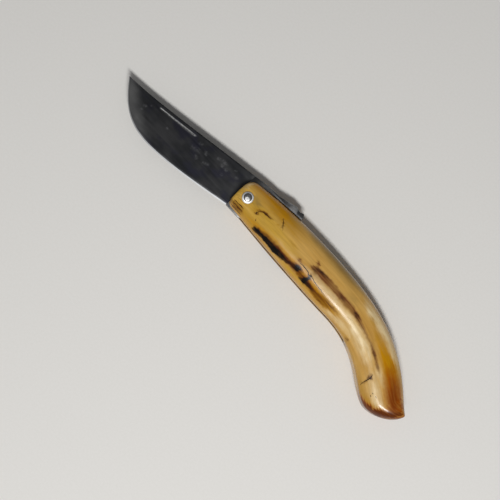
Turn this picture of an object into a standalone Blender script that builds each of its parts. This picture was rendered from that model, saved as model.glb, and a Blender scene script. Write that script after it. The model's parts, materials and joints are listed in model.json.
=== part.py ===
"""Folding whittling knife: a friction blade with a tail lever, riveted in a one-piece horn handle.

Metres, +Z up. The knife lies open on its flat cheek, as on a table. X runs from the blade's tip to the butt and
Y from the belly to the back. The blade turns about an upright rivet, and every outline is measured from its axis.
"""

import math

import bmesh
import bpy
from mathutils import Matrix, Vector

# Blade
BLADE_REACH = 0.0786  # rivet axis to tip
TIP_RISE = 0.0002  # tip above the axis
SPINE_RISE = 0.0104  # spine above the axis, where the blade leaves the tang
HEEL_DROP = 0.0086  # edge below the axis, where the blade leaves the tang
EDGE_REACH = 0.0500  # axis to the deepest point of the edge
EDGE_DROP = 0.0155  # deepest point of the edge below the axis
BLADE_THICK = 0.0022  # across the spine at the tang
TIP_THICK = 0.0010  # across the spine at the tip
BEVEL_WIDTH = 0.0010  # sharpened bevel, from shoulder to edge
BEVEL_THICK = 0.0005  # across the bevel's shoulders
FOLD_ANGLE = math.radians(171)  # from open to closed

# Nail nick in the upper face
NICK_REACH = 0.0475  # axis to the middle of the nick
NICK_LENGTH = 0.0215
NICK_WIDTH = 0.0015
NICK_DEPTH = 0.0004
NICK_INSET = 0.0019  # below the spine

# Tang and tail lever
TANG_THICK = 0.0026
TANG_RADIUS = 0.0092  # rounded back of the tang, about the axis
TANG_SWEEP = math.radians(71)  # how far that round runs below the axis
TAIL_REACH = 0.0246  # axis to the end of the tail
TAIL_ROOT = 0.0017  # height of the tail where it leaves the tang
TAIL_CREST = 0.0034  # height of the tail at its crest
TAIL_DIP = 0.0008  # finger dip behind the crest
TAIL_EDGE = 0.0003  # rounding of the tang's and the tail's edges
TAIL_NIB = 0.0008  # length of the tail's rounded end
STUB_LENGTH = 0.0020  # root of the ground blade inside the tang
STUB_INSET = 0.0008  # how much shallower that root is, above and below

# Horn handle
FRONT_REACH = 0.0054  # front end ahead of the axis
PLUNGE_SET = 0.0004  # where the blade leaves the tang, behind the front end
NOSE_RISE = 0.0088  # back above the axis, behind the rounded nose
NOSE_LENGTH = 0.0036  # length of the rounded nose
NOSE_ROUND = 0.0012  # how much thinner each cheek is at the front end
CHIN_DROP = 0.0078  # belly below the axis, at the chin
CHIN_LENGTH = 0.0018  # chin behind the front end
CHIN_RISE = 0.0036  # height over which the front end curves back to the chin
BACK_RISE = 0.0117  # back above the axis, at the crest of the grip
BEND_REACH = 0.0640  # axis to where the grip starts to droop
BEND_RISE = 0.0107  # back above the axis, there
BELLY_DROP = 0.0110  # belly below the axis, there
BUTT_REACH = 0.1215  # axis to the beak, the back corner of the butt
BEAK_DROP = 0.0164  # beak below the axis
BEAK_ANGLE = math.radians(46)  # slope of the back at the beak
KNOB_REACH = 0.1069  # axis to the lowest point of the butt
KNOB_DROP = 0.0270  # lowest point of the butt below the axis
FRONT_HALF = 0.0081  # half the thickness at the rivet
CHEEK_HALF = 0.0095  # half the thickness over the flat cheeks
CHEEK_CROWN = 0.0004  # horn filed off each cheek's crown to flatten it
BEAK_HALF = 0.0060  # half the thickness at the beak
BELLY_FLAT = 0.0090  # width of the flat along the belly, the slot included
SECTION_POWER = 2.5  # 2 is an ellipse, and more is squarer

# Rivet and washers
PIN_RADIUS = 0.0013
HEAD_LIP = 0.00065  # domed head beyond the pin
HEAD_RISE = 0.0007
WASHER_RIM = 0.00085  # washer beyond the rivet's head
WASHER_THICK = 0.0006
WASHER_EDGE = 0.0001  # broken edge of the washer
SEAT_DEPTH = 0.0004  # washer's recess below the cheek

# Fits
PIN_FIT = 0.00006  # rivet to each hole, all round
SEAT_GAP = 0.0002  # between pieces that bear on one another
TAIL_GAP = 0.0001  # tail to the back of the horn, its open stop
SEAT_FIT = 0.0002  # washer to its recess, all round
SIDE_PLAY = 0.0003  # tang to each wall of the slot
SWING_PLAY = 0.0004  # slot to what swings in it
CUT_OVER = 0.0050  # how far a cutter runs past what it cuts

# Facets
ROUND_STEPS = 40
RING_STEPS = 40
LINE_STEPS = 24
NOSE_STEPS = 6
GRIP_STEPS = 14
DROOP_STEPS = 16
BUTT_STEPS = 9

SLOT_HALF = TANG_THICK / 2 + SIDE_PLAY
SLOT_TOP_END = TANG_RADIUS + SWING_PLAY
SEAT_HALF = FRONT_HALF - SEAT_DEPTH
HEAD_RADIUS = PIN_RADIUS + HEAD_LIP
WASHER_RADIUS = HEAD_RADIUS + WASHER_RIM
PLUNGE_REACH = FRONT_REACH - PLUNGE_SET
SWELL_START = 0.12  # share of the grip at which the cheeks start to swell
SWELL_SPAN = 0.26  # share of the grip over which they swell
BACK_AT_KNOB = 0.9  # share of the drooping back that lies ahead of the knob
BEAK_STOP = 0.97  # share of the butt at which the last section is cut


def point(x, y):
    return Vector((x, y, 0))


def cubic(controls, t):
    """The point at t on a Bezier curve of four control points."""
    s = 1 - t
    first, second, third, last = controls
    return first * s**3 + second * (3 * s * s * t) + third * (3 * s * t * t) + last * t**3


def sampled(controls, steps=LINE_STEPS):
    return [cubic(controls, i / steps) for i in range(steps + 1)]


def through(points, steps=6):
    """A smooth line through the points."""
    ends = [points[0] * 2 - points[1], *points, points[-1] * 2 - points[-2]]
    line = []
    for before, start, end, after in zip(ends, ends[1:], ends[2:], ends[3:]):
        span = (start, start + (end - before) / 6, end - (after - start) / 6, end)
        line += sampled(span, steps)[:-1]
    return [*line, points[-1]]


def height_at(line, x):
    """The y of a line at x."""
    for start, end in zip(line, line[1:]):
        if min(start.x, end.x) <= x <= max(start.x, end.x) and start.x != end.x:
            return start.y + (end.y - start.y) * (x - start.x) / (end.x - start.x)
    return min(line, key=lambda p: abs(p.x - x)).y


def eased(t):
    t = min(max(t, 0), 1)
    return t * t * (3 - 2 * t)


# Outlines of the blade


def spine_line():
    root, tip = point(-PLUNGE_REACH, SPINE_RISE), point(-BLADE_REACH, TIP_RISE)
    span = tip - root
    return sampled((root, root + span * 0.36, tip + point(-span.x * 0.28, SPINE_RISE * 0.1), tip))


def edge_line():
    heel = point(-PLUNGE_REACH, -HEEL_DROP)
    deep = point(-EDGE_REACH, -EDGE_DROP)
    tip = point(-BLADE_REACH, TIP_RISE)
    back, front = deep - heel, tip - deep
    slope = heel + point(back.x * 0.33, back.y * 0.44)
    straight = sampled((heel, slope, deep - point(back.x * 0.27, 0), deep))
    belly = sampled((deep, deep + point(front.x * 0.54, 0), tip - front * 0.25 - point(0, front.y * 0.28), tip))
    return [*straight, *belly[1:]]


def folded(line):
    turn = Matrix.Rotation(FOLD_ANGLE, 3, "Z")
    return [turn @ p for p in line]


# Outlines of the handle


def handle_curves():
    """The back and belly of each stretch of the handle: nose, grip, droop and butt."""
    front_x = -FRONT_REACH
    nose = point(front_x + NOSE_LENGTH, NOSE_RISE)
    nose_back = (
        point(front_x, NOSE_RISE - 1.4 * NOSE_LENGTH),
        point(front_x, NOSE_RISE - 0.75 * NOSE_LENGTH),
        point(front_x + 0.35 * NOSE_LENGTH, NOSE_RISE - 0.2 * NOSE_LENGTH),
        nose,
    )
    chin = point(front_x + CHIN_LENGTH, -CHIN_DROP)
    nose_belly = (
        point(front_x, CHIN_RISE - CHIN_DROP),
        point(front_x, 0.5 * CHIN_RISE - CHIN_DROP),
        point(front_x + 0.5 * CHIN_LENGTH, 0.12 * CHIN_RISE - CHIN_DROP),
        chin,
    )
    bend_back, bend_belly = point(BEND_REACH, BEND_RISE), point(BEND_REACH, -BELLY_DROP)
    crest = (8 * BACK_RISE - NOSE_RISE - BEND_RISE) / 6
    grip = bend_back.x - nose.x
    grip_back = (nose, point(nose.x + 0.34 * grip, crest), point(nose.x + 0.73 * grip, crest), bend_back)
    sag = bend_belly - chin
    grip_belly = (chin, chin + point(0.33 * sag.x, 0.6 * sag.y), bend_belly - point(0.27 * sag.x, 0), bend_belly)
    beak = point(BUTT_REACH, -BEAK_DROP)
    droop = (beak - bend_back).length
    along = (bend_back - grip_back[2]).normalized()
    slope = point(math.cos(BEAK_ANGLE), -math.sin(BEAK_ANGLE))
    droop_back = (bend_back, bend_back + along * (0.345 * droop), beak - slope * (0.427 * droop), beak)
    knob = point(KNOB_REACH, -KNOB_DROP)
    fall = knob.x - bend_belly.x
    droop_belly = (bend_belly, bend_belly + point(0.58 * fall, 0), knob - point(0.21 * fall, 0), knob)
    rise = beak - knob
    butt_belly = (knob, knob + point(0.45 * rise.x, 0), beak - point(0.02 * rise.x, 0.5 * rise.y), beak)
    return {
        "nose": (nose_back, nose_belly),
        "grip": (grip_back, grip_belly),
        "droop": (droop_back, droop_belly),
        "butt": (droop_back, butt_belly),
    }


def handle_stations():
    """The back point, belly point and half thickness of each section, from the front end to the beak."""
    curves = handle_curves()
    full = CHEEK_HALF + CHEEK_CROWN
    stations = []
    for i in range(NOSE_STEPS):
        t = i / NOSE_STEPS
        back, belly = curves["nose"]
        half = FRONT_HALF - NOSE_ROUND * (1 - math.sqrt(1 - (1 - t) ** 2))
        stations.append((cubic(back, t), cubic(belly, t), half))
    for i in range(GRIP_STEPS):
        t = i / GRIP_STEPS
        back, belly = curves["grip"]
        half = FRONT_HALF + (full - FRONT_HALF) * eased((t - SWELL_START) / SWELL_SPAN)
        stations.append((cubic(back, t), cubic(belly, t), half))
    for i in range(DROOP_STEPS):
        t = i / DROOP_STEPS
        back, belly = curves["droop"]
        stations.append((cubic(back, t * BACK_AT_KNOB), cubic(belly, t), full))
    for i in range(BUTT_STEPS):
        t = BEAK_STOP * i / (BUTT_STEPS - 1)
        back, belly = curves["butt"]
        half = BEAK_HALF + (full - BEAK_HALF) * math.sqrt(1 - t * t)
        stations.append((cubic(back, BACK_AT_KNOB + (1 - BACK_AT_KNOB) * t), cubic(belly, t), half))
    return stations


def back_line():
    curves = handle_curves()
    return [*sampled(curves["nose"][0]), *sampled(curves["grip"][0])[1:]]


def tail_top():
    """The tail's upper line, from the tang to the tail's rounded end."""
    back = back_line()
    start, end = SLOT_TOP_END, TAIL_REACH
    heights = (
        (0.0, TAIL_ROOT),
        (0.3, (TAIL_ROOT + TAIL_CREST) / 2),
        (0.61, TAIL_CREST),
        (0.75, TAIL_CREST - TAIL_DIP),
        (0.9, TAIL_CREST - TAIL_DIP / 3),
    )
    xs = [start + (end - start) * share for share, _ in heights]
    points = [point(x, height_at(back, x) + TAIL_GAP + high) for x, (_, high) in zip(xs, heights)]
    tip = point(end, height_at(back, end) + TAIL_GAP + (TAIL_CREST - TAIL_DIP) / 2)
    return through([*points, tip])


def tang_outline():
    """The tang and its tail, as one flat outline, running from the plunge along the top and back underneath."""
    back = back_line()
    top = tail_top()
    front = point(-PLUNGE_REACH, SPINE_RISE)
    shoulder = top[0]
    rise = front + point(0.4 * TANG_RADIUS, 0.06 * TANG_RADIUS)
    crown = (front, rise, point(0.4 * TANG_RADIUS, shoulder.y), shoulder)
    seated = [p.x for p in reversed(top) if p.x < TAIL_REACH - TAIL_NIB]
    under = [point(x, height_at(back, x) + TAIL_GAP) for x in seated]
    root = point(TANG_RADIUS, under[-1].y)
    arc = [TANG_SWEEP * i / LINE_STEPS for i in range(LINE_STEPS + 1)]
    round_back = [point(math.cos(a), -math.sin(a)) * TANG_RADIUS for a in arc]
    return [*sampled(crown, 8)[:-1], *top, *under, root, *round_back, point(-PLUNGE_REACH, -HEEL_DROP)]


def slot_outline():
    """The saw cut: clear of the folded blade, open along the belly, and through the back ahead of the tail's seat."""
    edge = folded(edge_line())
    roof = max(p.y for p in edge) + SWING_PLAY
    deep = folded([point(-EDGE_REACH, -EDGE_DROP)])[0]
    tip = folded([point(-BLADE_REACH, TIP_RISE)])[0]
    end = tip.x + SWING_PLAY
    front, above, below = -FRONT_REACH - CUT_OVER, BACK_RISE + CUT_OVER, -KNOB_DROP - CUT_OVER
    quarter = [math.pi / 2 * i / LINE_STEPS for i in range(LINE_STEPS + 1)]
    round_end = [
        point(deep.x + (end - deep.x) * math.sin(a), tip.y + (roof - tip.y) * math.cos(a)) for a in quarter
    ]
    mouth = [point(front, above), point(SLOT_TOP_END, above), point(SLOT_TOP_END, roof)]
    return [*mouth, *round_end, point(end, below), point(front, below)]


# Modelling


def material(name, colour, roughness, metallic):
    made = bpy.data.materials.new(name)
    made.use_nodes = True
    shader = made.node_tree.nodes["Principled BSDF"]
    shader.inputs["Base Color"].default_value = (*colour, 1)
    shader.inputs["Roughness"].default_value = roughness
    shader.inputs["Metallic"].default_value = metallic
    return made


def add_object(name, mesh, collection, parent):
    made = bpy.data.objects.new(name, mesh)
    collection.objects.link(made)
    made.parent = parent
    return made


def mesh_of(name, shape):
    """Turns a bmesh into a mesh whose faces point out."""
    bmesh.ops.recalc_face_normals(shape, faces=shape.faces)
    made = bpy.data.meshes.new(name)
    shape.to_mesh(made)
    shape.free()
    return made


def loft(name, rings, closing_point=None):
    """A skin over rings of equal count, with its ends capped, or its last end drawn to a point."""
    shape = bmesh.new()
    loops = [[shape.verts.new(p) for p in ring] for ring in rings]
    for ring, following in zip(loops, loops[1:]):
        for i, corner in enumerate(ring):
            shape.faces.new((ring[i - 1], corner, following[i], following[i - 1]))
    shape.faces.new(loops[0])
    if closing_point is None:
        shape.faces.new(loops[-1])
    else:
        peak = shape.verts.new(closing_point)
        for i, corner in enumerate(loops[-1]):
            shape.faces.new((loops[-1][i - 1], corner, peak))
    return mesh_of(name, shape)


def plate(name, outline, half):
    """A flat outline as a solid, half thick each way from the blade's plane."""
    curve = bpy.data.curves.new(name, "CURVE")
    curve.dimensions = "2D"
    curve.fill_mode = "BOTH"
    curve.extrude = half
    spline = curve.splines.new("POLY")
    spline.points.add(len(outline) - 1)
    spline.use_cyclic_u = True
    for corner, place in zip(spline.points, outline):
        corner.co = (*place, 1)
    drawn = bpy.data.objects.new(name, curve)
    bpy.context.scene.collection.objects.link(drawn)
    bpy.context.view_layer.update()
    made = bpy.data.meshes.new_from_object(drawn.evaluated_get(bpy.context.evaluated_depsgraph_get()))
    bpy.data.objects.remove(drawn)
    bpy.data.curves.remove(curve)
    made.name = name
    shape = bmesh.new()
    shape.from_mesh(made)
    bmesh.ops.remove_doubles(shape, verts=shape.verts, dist=1e-7)
    bmesh.ops.recalc_face_normals(shape, faces=shape.faces)
    for side in (1, -1):
        cap = [face for face in shape.faces if face.normal.z * side > 0.9]
        bmesh.ops.dissolve_faces(shape, faces=cap)
    shape.to_mesh(made)
    shape.free()
    return made


def turned(name, profile, collection, parent, closed=False):
    """A profile of (radius, height) pairs, from top to bottom, turned about the rivet's axis."""
    shape = bmesh.new()
    corners = [shape.verts.new((radius, 0, height)) for radius, height in profile]
    for start, end in zip(corners, corners[1:]):
        shape.edges.new((start, end))
    if closed:
        shape.edges.new((corners[-1], corners[0]))
    mesh = bpy.data.meshes.new(name)
    shape.to_mesh(mesh)
    shape.free()
    made = add_object(name, mesh, collection, parent)
    screw = made.modifiers.new("turn", "SCREW")
    screw.steps = ROUND_STEPS
    screw.render_steps = ROUND_STEPS
    screw.use_merge_vertices = True
    screw.merge_threshold = 1e-6
    screw.use_smooth_shade = False
    return made


def boolean(target, operation, other):
    modifier = target.modifiers.new(f"{operation} {other.name}".lower(), "BOOLEAN")
    modifier.operation = operation
    modifier.solver = "EXACT"
    modifier.object = other


def as_helper(made):
    made.hide_render = True
    made.display_type = "WIRE"
    return made


def finish(made, look):
    made.data.materials.append(look)
    made.data.shade_smooth()
    made.data.set_sharp_from_angle(angle=math.radians(35))


# Pieces


def section_ring(back, belly, half):
    """One section of the horn: a squared ellipse, filed flat along the belly and over the cheeks."""
    centre, reach = (back + belly) / 2, (back - belly) / 2
    flat = min(BELLY_FLAT / 2, BEAK_HALF) / half
    overshoot = (1 - flat**SECTION_POWER) ** (-1 / SECTION_POWER)
    ring = []
    for i in range(RING_STEPS):
        angle = 2 * math.pi * (i + 0.5) / RING_STEPS
        along, across = math.cos(angle), math.sin(angle)
        along = math.copysign(abs(along) ** (2 / SECTION_POWER), along)
        across = math.copysign(abs(across) ** (2 / SECTION_POWER), across)
        place = centre + reach * max(along if along > 0 else along * overshoot, -1)
        place.z = min(max(half * across, -CHEEK_HALF), CHEEK_HALF)
        ring.append(place)
    return ring


def make_handle(parts, helpers, pivot):
    """One piece of horn, sawn open along its belly for the blade and bored for the rivet and its washers."""
    rings = [section_ring(*station) for station in handle_stations()]
    handle = add_object("horn_handle", loft("horn_handle", rings), parts, pivot)
    slot = as_helper(add_object("slot_cutter", plate("slot_cutter", slot_outline(), SLOT_HALF), helpers, pivot))
    beyond = CHEEK_HALF + CUT_OVER
    hole, seat = PIN_RADIUS + PIN_FIT, WASHER_RADIUS + SEAT_FIT
    upper = [(0, beyond), (seat, beyond), (seat, SEAT_HALF), (hole, SEAT_HALF)]
    lower = [(radius, -height) for radius, height in reversed(upper)]
    bore = as_helper(turned("rivet_bore_cutter", upper + lower, helpers, pivot))
    boolean(handle, "DIFFERENCE", slot)
    boolean(handle, "DIFFERENCE", bore)
    finish(handle, material("horn", (0.72, 0.52, 0.26), 0.25, 0))


def blade_ring(x, spine, edge, inset):
    """A wedge section of the blade at x, from the square spine down to the sharpened bevel."""
    share = (-x - PLUNGE_REACH) / (BLADE_REACH - PLUNGE_REACH)
    half = (BLADE_THICK + (TIP_THICK - BLADE_THICK) * max(share, 0)) / 2
    top, bottom = height_at(spine, x) - inset, height_at(edge, x) + inset
    bevel = min(BEVEL_WIDTH, 0.3 * (top - bottom))
    shoulder = min(BEVEL_THICK / 2, 0.6 * half)
    return [
        Vector((x, top, half)),
        Vector((x, top, -half)),
        Vector((x, bottom + bevel, -shoulder)),
        Vector((x, bottom, 0)),
        Vector((x, bottom + bevel, shoulder)),
    ]


def make_blade(parts, helpers, pivot):
    """The forged blade: ground wedge, flat tang and tail lever in one, with the rivet's hole and a nail nick."""
    spine, edge = spine_line(), edge_line()
    rings = [blade_ring(STUB_LENGTH - PLUNGE_REACH, spine, edge, STUB_INSET)]
    start, end = PLUNGE_REACH + SEAT_GAP, BLADE_REACH
    for i in range(LINE_STEPS):
        share = math.sin(math.pi / 2 * i / LINE_STEPS)
        rings.append(blade_ring(-start - (end - start) * share, spine, edge, 0))
    tip = point(-BLADE_REACH, TIP_RISE)
    blade = add_object("blade", loft("blade", rings, tip), parts, pivot)

    tang = as_helper(add_object("tang_blank", plate("tang_blank", tang_outline(), TANG_THICK / 2), helpers, pivot))
    rounding = tang.modifiers.new("rounded edges", "BEVEL")
    rounding.width = TAIL_EDGE
    rounding.segments = 2
    rounding.limit_method = "ANGLE"
    rounding.angle_limit = math.radians(60)

    beyond = TANG_THICK / 2 + CUT_OVER
    hole = PIN_RADIUS + PIN_FIT
    bore = turned("tang_bore_cutter", [(0, beyond), (hole, beyond), (hole, -beyond), (0, -beyond)], helpers, pivot)

    nick_shape = bmesh.new()
    bmesh.ops.create_uvsphere(nick_shape, u_segments=24, v_segments=12, radius=1)
    size = Matrix.Diagonal((NICK_LENGTH / 2, NICK_WIDTH / 2, NICK_DEPTH, 1))
    bmesh.ops.transform(nick_shape, matrix=size, verts=nick_shape.verts)
    nick = as_helper(add_object("nail_nick_cutter", mesh_of("nail_nick_cutter", nick_shape), helpers, pivot))
    ends = [-NICK_REACH - NICK_LENGTH / 2, -NICK_REACH + NICK_LENGTH / 2]
    low, high = (height_at(spine, x) for x in ends)
    at_nick = blade_ring(-NICK_REACH, spine, edge, 0)
    depth_share = NICK_INSET / (at_nick[0].y - at_nick[4].y)
    face = at_nick[0].lerp(at_nick[4], depth_share)
    nick.location = face
    nick.rotation_euler.z = math.atan2(high - low, ends[1] - ends[0])

    boolean(blade, "UNION", tang)
    boolean(blade, "DIFFERENCE", as_helper(bore))
    boolean(blade, "DIFFERENCE", nick)
    finish(blade, material("carbon_steel", (0.16, 0.16, 0.17), 0.42, 1))


def make_rivet(parts, pivot):
    """A pin peened to a dome over the washer at each end."""
    seat = SEAT_HALF + 2 * SEAT_GAP + WASHER_THICK
    dome = [math.pi / 2 * i / 6 for i in range(7)]
    upper = [(HEAD_RADIUS * math.sin(a), seat + HEAD_RISE * math.cos(a)) for a in dome]
    upper.append((PIN_RADIUS, seat))
    lower = [(radius, -height) for radius, height in reversed(upper)]
    rivet = turned("pivot_rivet", upper + lower, parts, pivot)
    finish(rivet, material("rivet_steel", (0.55, 0.55, 0.56), 0.3, 1))


def make_washers(parts, pivot):
    """A flat washer in the recess of each cheek, under the rivet's head."""
    steel = material("washer_steel", (0.7, 0.7, 0.7), 0.35, 1)
    hole, edge = PIN_RADIUS + PIN_FIT, WASHER_EDGE
    for name, side in (("upper_washer", 1), ("lower_washer", -1)):
        middle = side * (SEAT_HALF + SEAT_GAP + WASHER_THICK / 2)
        top, bottom = middle + WASHER_THICK / 2, middle - WASHER_THICK / 2
        profile = [
            (hole, top),
            (WASHER_RADIUS - edge, top),
            (WASHER_RADIUS, top - edge),
            (WASHER_RADIUS, bottom + edge),
            (WASHER_RADIUS - edge, bottom),
            (hole, bottom),
        ]
        finish(turned(name, profile, parts, pivot, closed=True), steel)


def main():
    for old in list(bpy.data.objects):
        bpy.data.objects.remove(old)
    parts = bpy.data.collections.new("whittling_knife")
    helpers = bpy.data.collections.new("cutters")
    bpy.context.scene.collection.children.link(parts)
    bpy.context.scene.collection.children.link(helpers)
    pivot = bpy.data.objects.new("pivot_axis", None)
    parts.objects.link(pivot)
    tail_height = max(p.y for p in tail_top())
    pivot.location = ((BLADE_REACH - BUTT_REACH) / 2, (KNOB_DROP - tail_height) / 2, CHEEK_HALF)
    make_handle(parts, helpers, pivot)
    make_blade(parts, helpers, pivot)
    make_rivet(parts, pivot)
    make_washers(parts, pivot)


main()
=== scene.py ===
"""Looks of the folding whittling knife: polished horn, a patinated steel blade and its riveted pivot.

Metres, +Z up, in the knife's own frame. Outlines are drawn from the rivet's axis: X runs towards the
butt, Y towards the back, and Z=0 is the blade's plane. Marks are in millimetres from the same axis.
"""

import json
import math

import bmesh
import bpy
import numpy as np
from mathutils import Matrix, Vector, noise


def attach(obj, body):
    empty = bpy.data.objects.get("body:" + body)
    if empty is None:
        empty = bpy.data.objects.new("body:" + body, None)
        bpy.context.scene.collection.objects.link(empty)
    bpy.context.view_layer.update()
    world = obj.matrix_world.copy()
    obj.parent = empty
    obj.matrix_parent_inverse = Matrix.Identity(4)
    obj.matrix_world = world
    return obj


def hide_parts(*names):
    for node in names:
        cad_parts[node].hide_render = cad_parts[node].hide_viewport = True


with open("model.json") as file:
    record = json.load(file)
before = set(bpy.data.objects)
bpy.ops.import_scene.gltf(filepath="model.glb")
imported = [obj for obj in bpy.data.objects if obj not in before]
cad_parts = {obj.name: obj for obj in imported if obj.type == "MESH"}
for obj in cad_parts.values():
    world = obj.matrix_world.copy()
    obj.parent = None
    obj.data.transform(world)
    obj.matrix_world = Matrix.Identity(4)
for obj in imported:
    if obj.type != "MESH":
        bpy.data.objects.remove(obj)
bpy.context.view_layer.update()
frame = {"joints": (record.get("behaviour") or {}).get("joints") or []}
pivot = Vector(frame["joints"][0]["pos_m"])
fold_angle = math.radians(frame["joints"][0]["range_deg"][1])

MM = 1000  # millimetres in a metre

# Blade
BLADE_REACH = 0.0786  # rivet axis to tip
TIP_RISE = 0.0002
SPINE_RISE = 0.0104
HEEL_DROP = 0.0086
EDGE_REACH = 0.0500  # axis to the deepest point of the edge
EDGE_DROP = 0.0155
BLADE_THICK = 0.0022
TIP_THICK = 0.0010
BEVEL_WIDTH = 0.0010
BEVEL_THICK = 0.0005
SPINE_ROUND = 0.00025
HONE_WAVER = 0.35  # how much the sharpened bevel's width wanders, as a share
NICK_REACH = 0.0475
NICK_LENGTH = 0.0215
NICK_WIDTH = 0.0015
NICK_DEPTH = 0.0004
NICK_INSET = 0.0019
BLADE_STEPS = 150
FACE_STEPS = 40
TIP_CROWDING = 1.4  # over 1 brings the steps closer together towards the tip
HONE_WAVES = 220  # waves of that wander to a metre
TIP_SLOPE = 0.3  # half thickness over height, where the blade runs out at its tip
ROUND_MIDDLE = 0.29  # how far a rounded corner lies inside a sharp one, along each side
UNGROUND = 9.0  # stands for a place away from the edge, in millimetres

# Tang and tail lever
TANG_THICK = 0.0026
TANG_RADIUS = 0.0092
TANG_SWEEP = math.radians(71)
TAIL_REACH = 0.0246
TAIL_ROOT = 0.0017
TAIL_CREST = 0.00337
TAIL_DIP = 0.0008
TAIL_EDGE = 0.0003
TAIL_NIB = 0.0008
STUB_LENGTH = 0.0020
STUB_INSET = 0.0008

# Horn handle
FRONT_REACH = 0.0054
PLUNGE_SET = 0.0004
NOSE_RISE = 0.0088
NOSE_LENGTH = 0.0036
NOSE_ROUND = 0.0012
CHIN_DROP = 0.0078
CHIN_LENGTH = 0.0018
CHIN_RISE = 0.0036
BACK_RISE = 0.0117
BEND_REACH = 0.0640
BEND_RISE = 0.0107
BELLY_DROP = 0.0110
BUTT_REACH = 0.1215
BEAK_DROP = 0.0164
BEAK_ANGLE = math.radians(46)
KNOB_REACH = 0.1069
KNOB_DROP = 0.0270
FRONT_HALF = 0.0081
CHEEK_HALF = 0.0095
BEAK_HALF = 0.0060
BELLY_FLAT = 0.0090
SECTION_POWER = 2.5
SWELL_START = 0.12
SWELL_SPAN = 0.26
BACK_AT_KNOB = 0.9
BEAK_STOP = 0.97
HORN_SIDES = 96
NOSE_STEPS = 12
GRIP_STEPS = 70
DROOP_STEPS = 60
BUTT_STEPS = 30
HORN_VOXEL = 0.00041
SMOOTH_PASSES = 9
SCRAPE_DEPTH = 0.08  # millimetres

# Rivet and washers
PIN_RADIUS = 0.0013
HEAD_RADIUS = 0.00195
HEAD_RISE = 0.0007
HAMMER_FLATS = ((0.04, -0.15), (-0.05, 0.2))  # slopes of the heads' two flats, along X and Y
FLATS_RIDGE = 0.0002
WASHER_RADIUS = 0.0028
WASHER_THICK = 0.0006
WASHER_EDGE = 0.00014
WASHER_DISH = 0.00016
SEAT_HALF = 0.0077
SEAT_GAP = 0.0002
SEAT_FIT = 0.0002
PIN_FIT = 0.00006
TURN_STEPS = 72
DOME_STEPS = 12
DOME_POWER = 0.8  # under 1 makes a fuller dome
RIM_STEPS = 4
SAME_POINT = 1e-7
SAME_RIM = 2e-6

# Fits
TAIL_GAP = 0.0001
SLOT_HALF = 0.0016
SWING_PLAY = 0.0004
CUT_OVER = 0.0050
SLOT_TOP_END = TANG_RADIUS + SWING_PLAY
PLUNGE_REACH = FRONT_REACH - PLUNGE_SET
LINE_STEPS = 48

# Looks
HORN_IOR = 1.54
HORN_GLOSS = 0.26
HORN_ROUGHNESS = (0.17, 0.25)
STEEL_ROUGHNESS = (0.28, 0.42)
HONED_ROUGHNESS = 0.52
WORN_ROUGHNESS = 0.62
PAPER_ROUGHNESS = 0.9
HONED_FADE = (0.7, 0.4)  # millimetres above the edge, from where the stoned line starts to where it is full
FURROW_SOFT = 0.3  # millimetres
CRACK_SOFT = 0.2
BUMP_STRENGTH = 0.2
FIBRE_RELIEF = 0.00005
GRINDING_RELIEF = 0.00002

# Studio
FLOOR_RADIUS = 4
LAMP_PLACE = (0.25, -0.30, 0.84)
LAMP_WIDTH = 0.10
LAMP_LENGTH = 0.30
LAMP_WATTS = 6.5

# The photograph's view: the knife lies across the frame, and the camera leans a little to the belly's side
IMAGE_TURN = math.radians(46.6)
CAMERA_LEAN = math.radians(6)
VIEW_CENTRE = Vector((0.0179, -0.0149, 0))
VIEW_WIDTH = 0.230
LENS_MM = 85
SENSOR_MM = 36
ROOM_BELLY_SIDE = 0.27
ROOM_BACK_SIDE = 0.15


# Outlines


def point(x, y):
    return Vector((x, y, 0))


def cubic(controls, t):
    s = 1 - t
    first, second, third, last = controls
    return first * s**3 + second * (3 * s * s * t) + third * (3 * s * t * t) + last * t**3


def sampled(controls, steps=LINE_STEPS):
    return [cubic(controls, i / steps) for i in range(steps + 1)]


def through(points, steps=8):
    """A smooth line through the points."""
    ends = [points[0] * 2 - points[1], *points, points[-1] * 2 - points[-2]]
    line = []
    for before, start, end, after in zip(ends, ends[1:], ends[2:], ends[3:]):
        span = (start, start + (end - before) / 6, end - (after - start) / 6, end)
        line += sampled(span, steps)[:-1]
    return [*line, points[-1]]


def height_at(line, x):
    for start, end in zip(line, line[1:]):
        if min(start.x, end.x) <= x <= max(start.x, end.x) and start.x != end.x:
            return start.y + (end.y - start.y) * (x - start.x) / (end.x - start.x)
    return min(line, key=lambda p: abs(p.x - x)).y


def quarter_turn(steps):
    return [math.pi / 2 * i / steps for i in range(steps + 1)]


def eased(t):
    t = min(max(t, 0), 1)
    return t * t * (3 - 2 * t)


def spine_line():
    root, tip = point(-PLUNGE_REACH, SPINE_RISE), point(-BLADE_REACH, TIP_RISE)
    span = tip - root
    return sampled((root, root + span * 0.36, tip + point(-span.x * 0.28, SPINE_RISE * 0.1), tip))


def edge_line():
    heel = point(-PLUNGE_REACH, -HEEL_DROP)
    deep = point(-EDGE_REACH, -EDGE_DROP)
    tip = point(-BLADE_REACH, TIP_RISE)
    back, front = deep - heel, tip - deep
    slope = heel + point(back.x * 0.33, back.y * 0.44)
    straight = sampled((heel, slope, deep - point(back.x * 0.27, 0), deep))
    near_tip = tip - front * 0.25 - point(0, front.y * 0.28)
    belly = sampled((deep, deep + point(front.x * 0.54, 0), near_tip, tip))
    return [*straight, *belly[1:]]


def folded(line):
    turn = Matrix.Rotation(fold_angle, 3, "Z")
    return [turn @ p for p in line]


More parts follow.
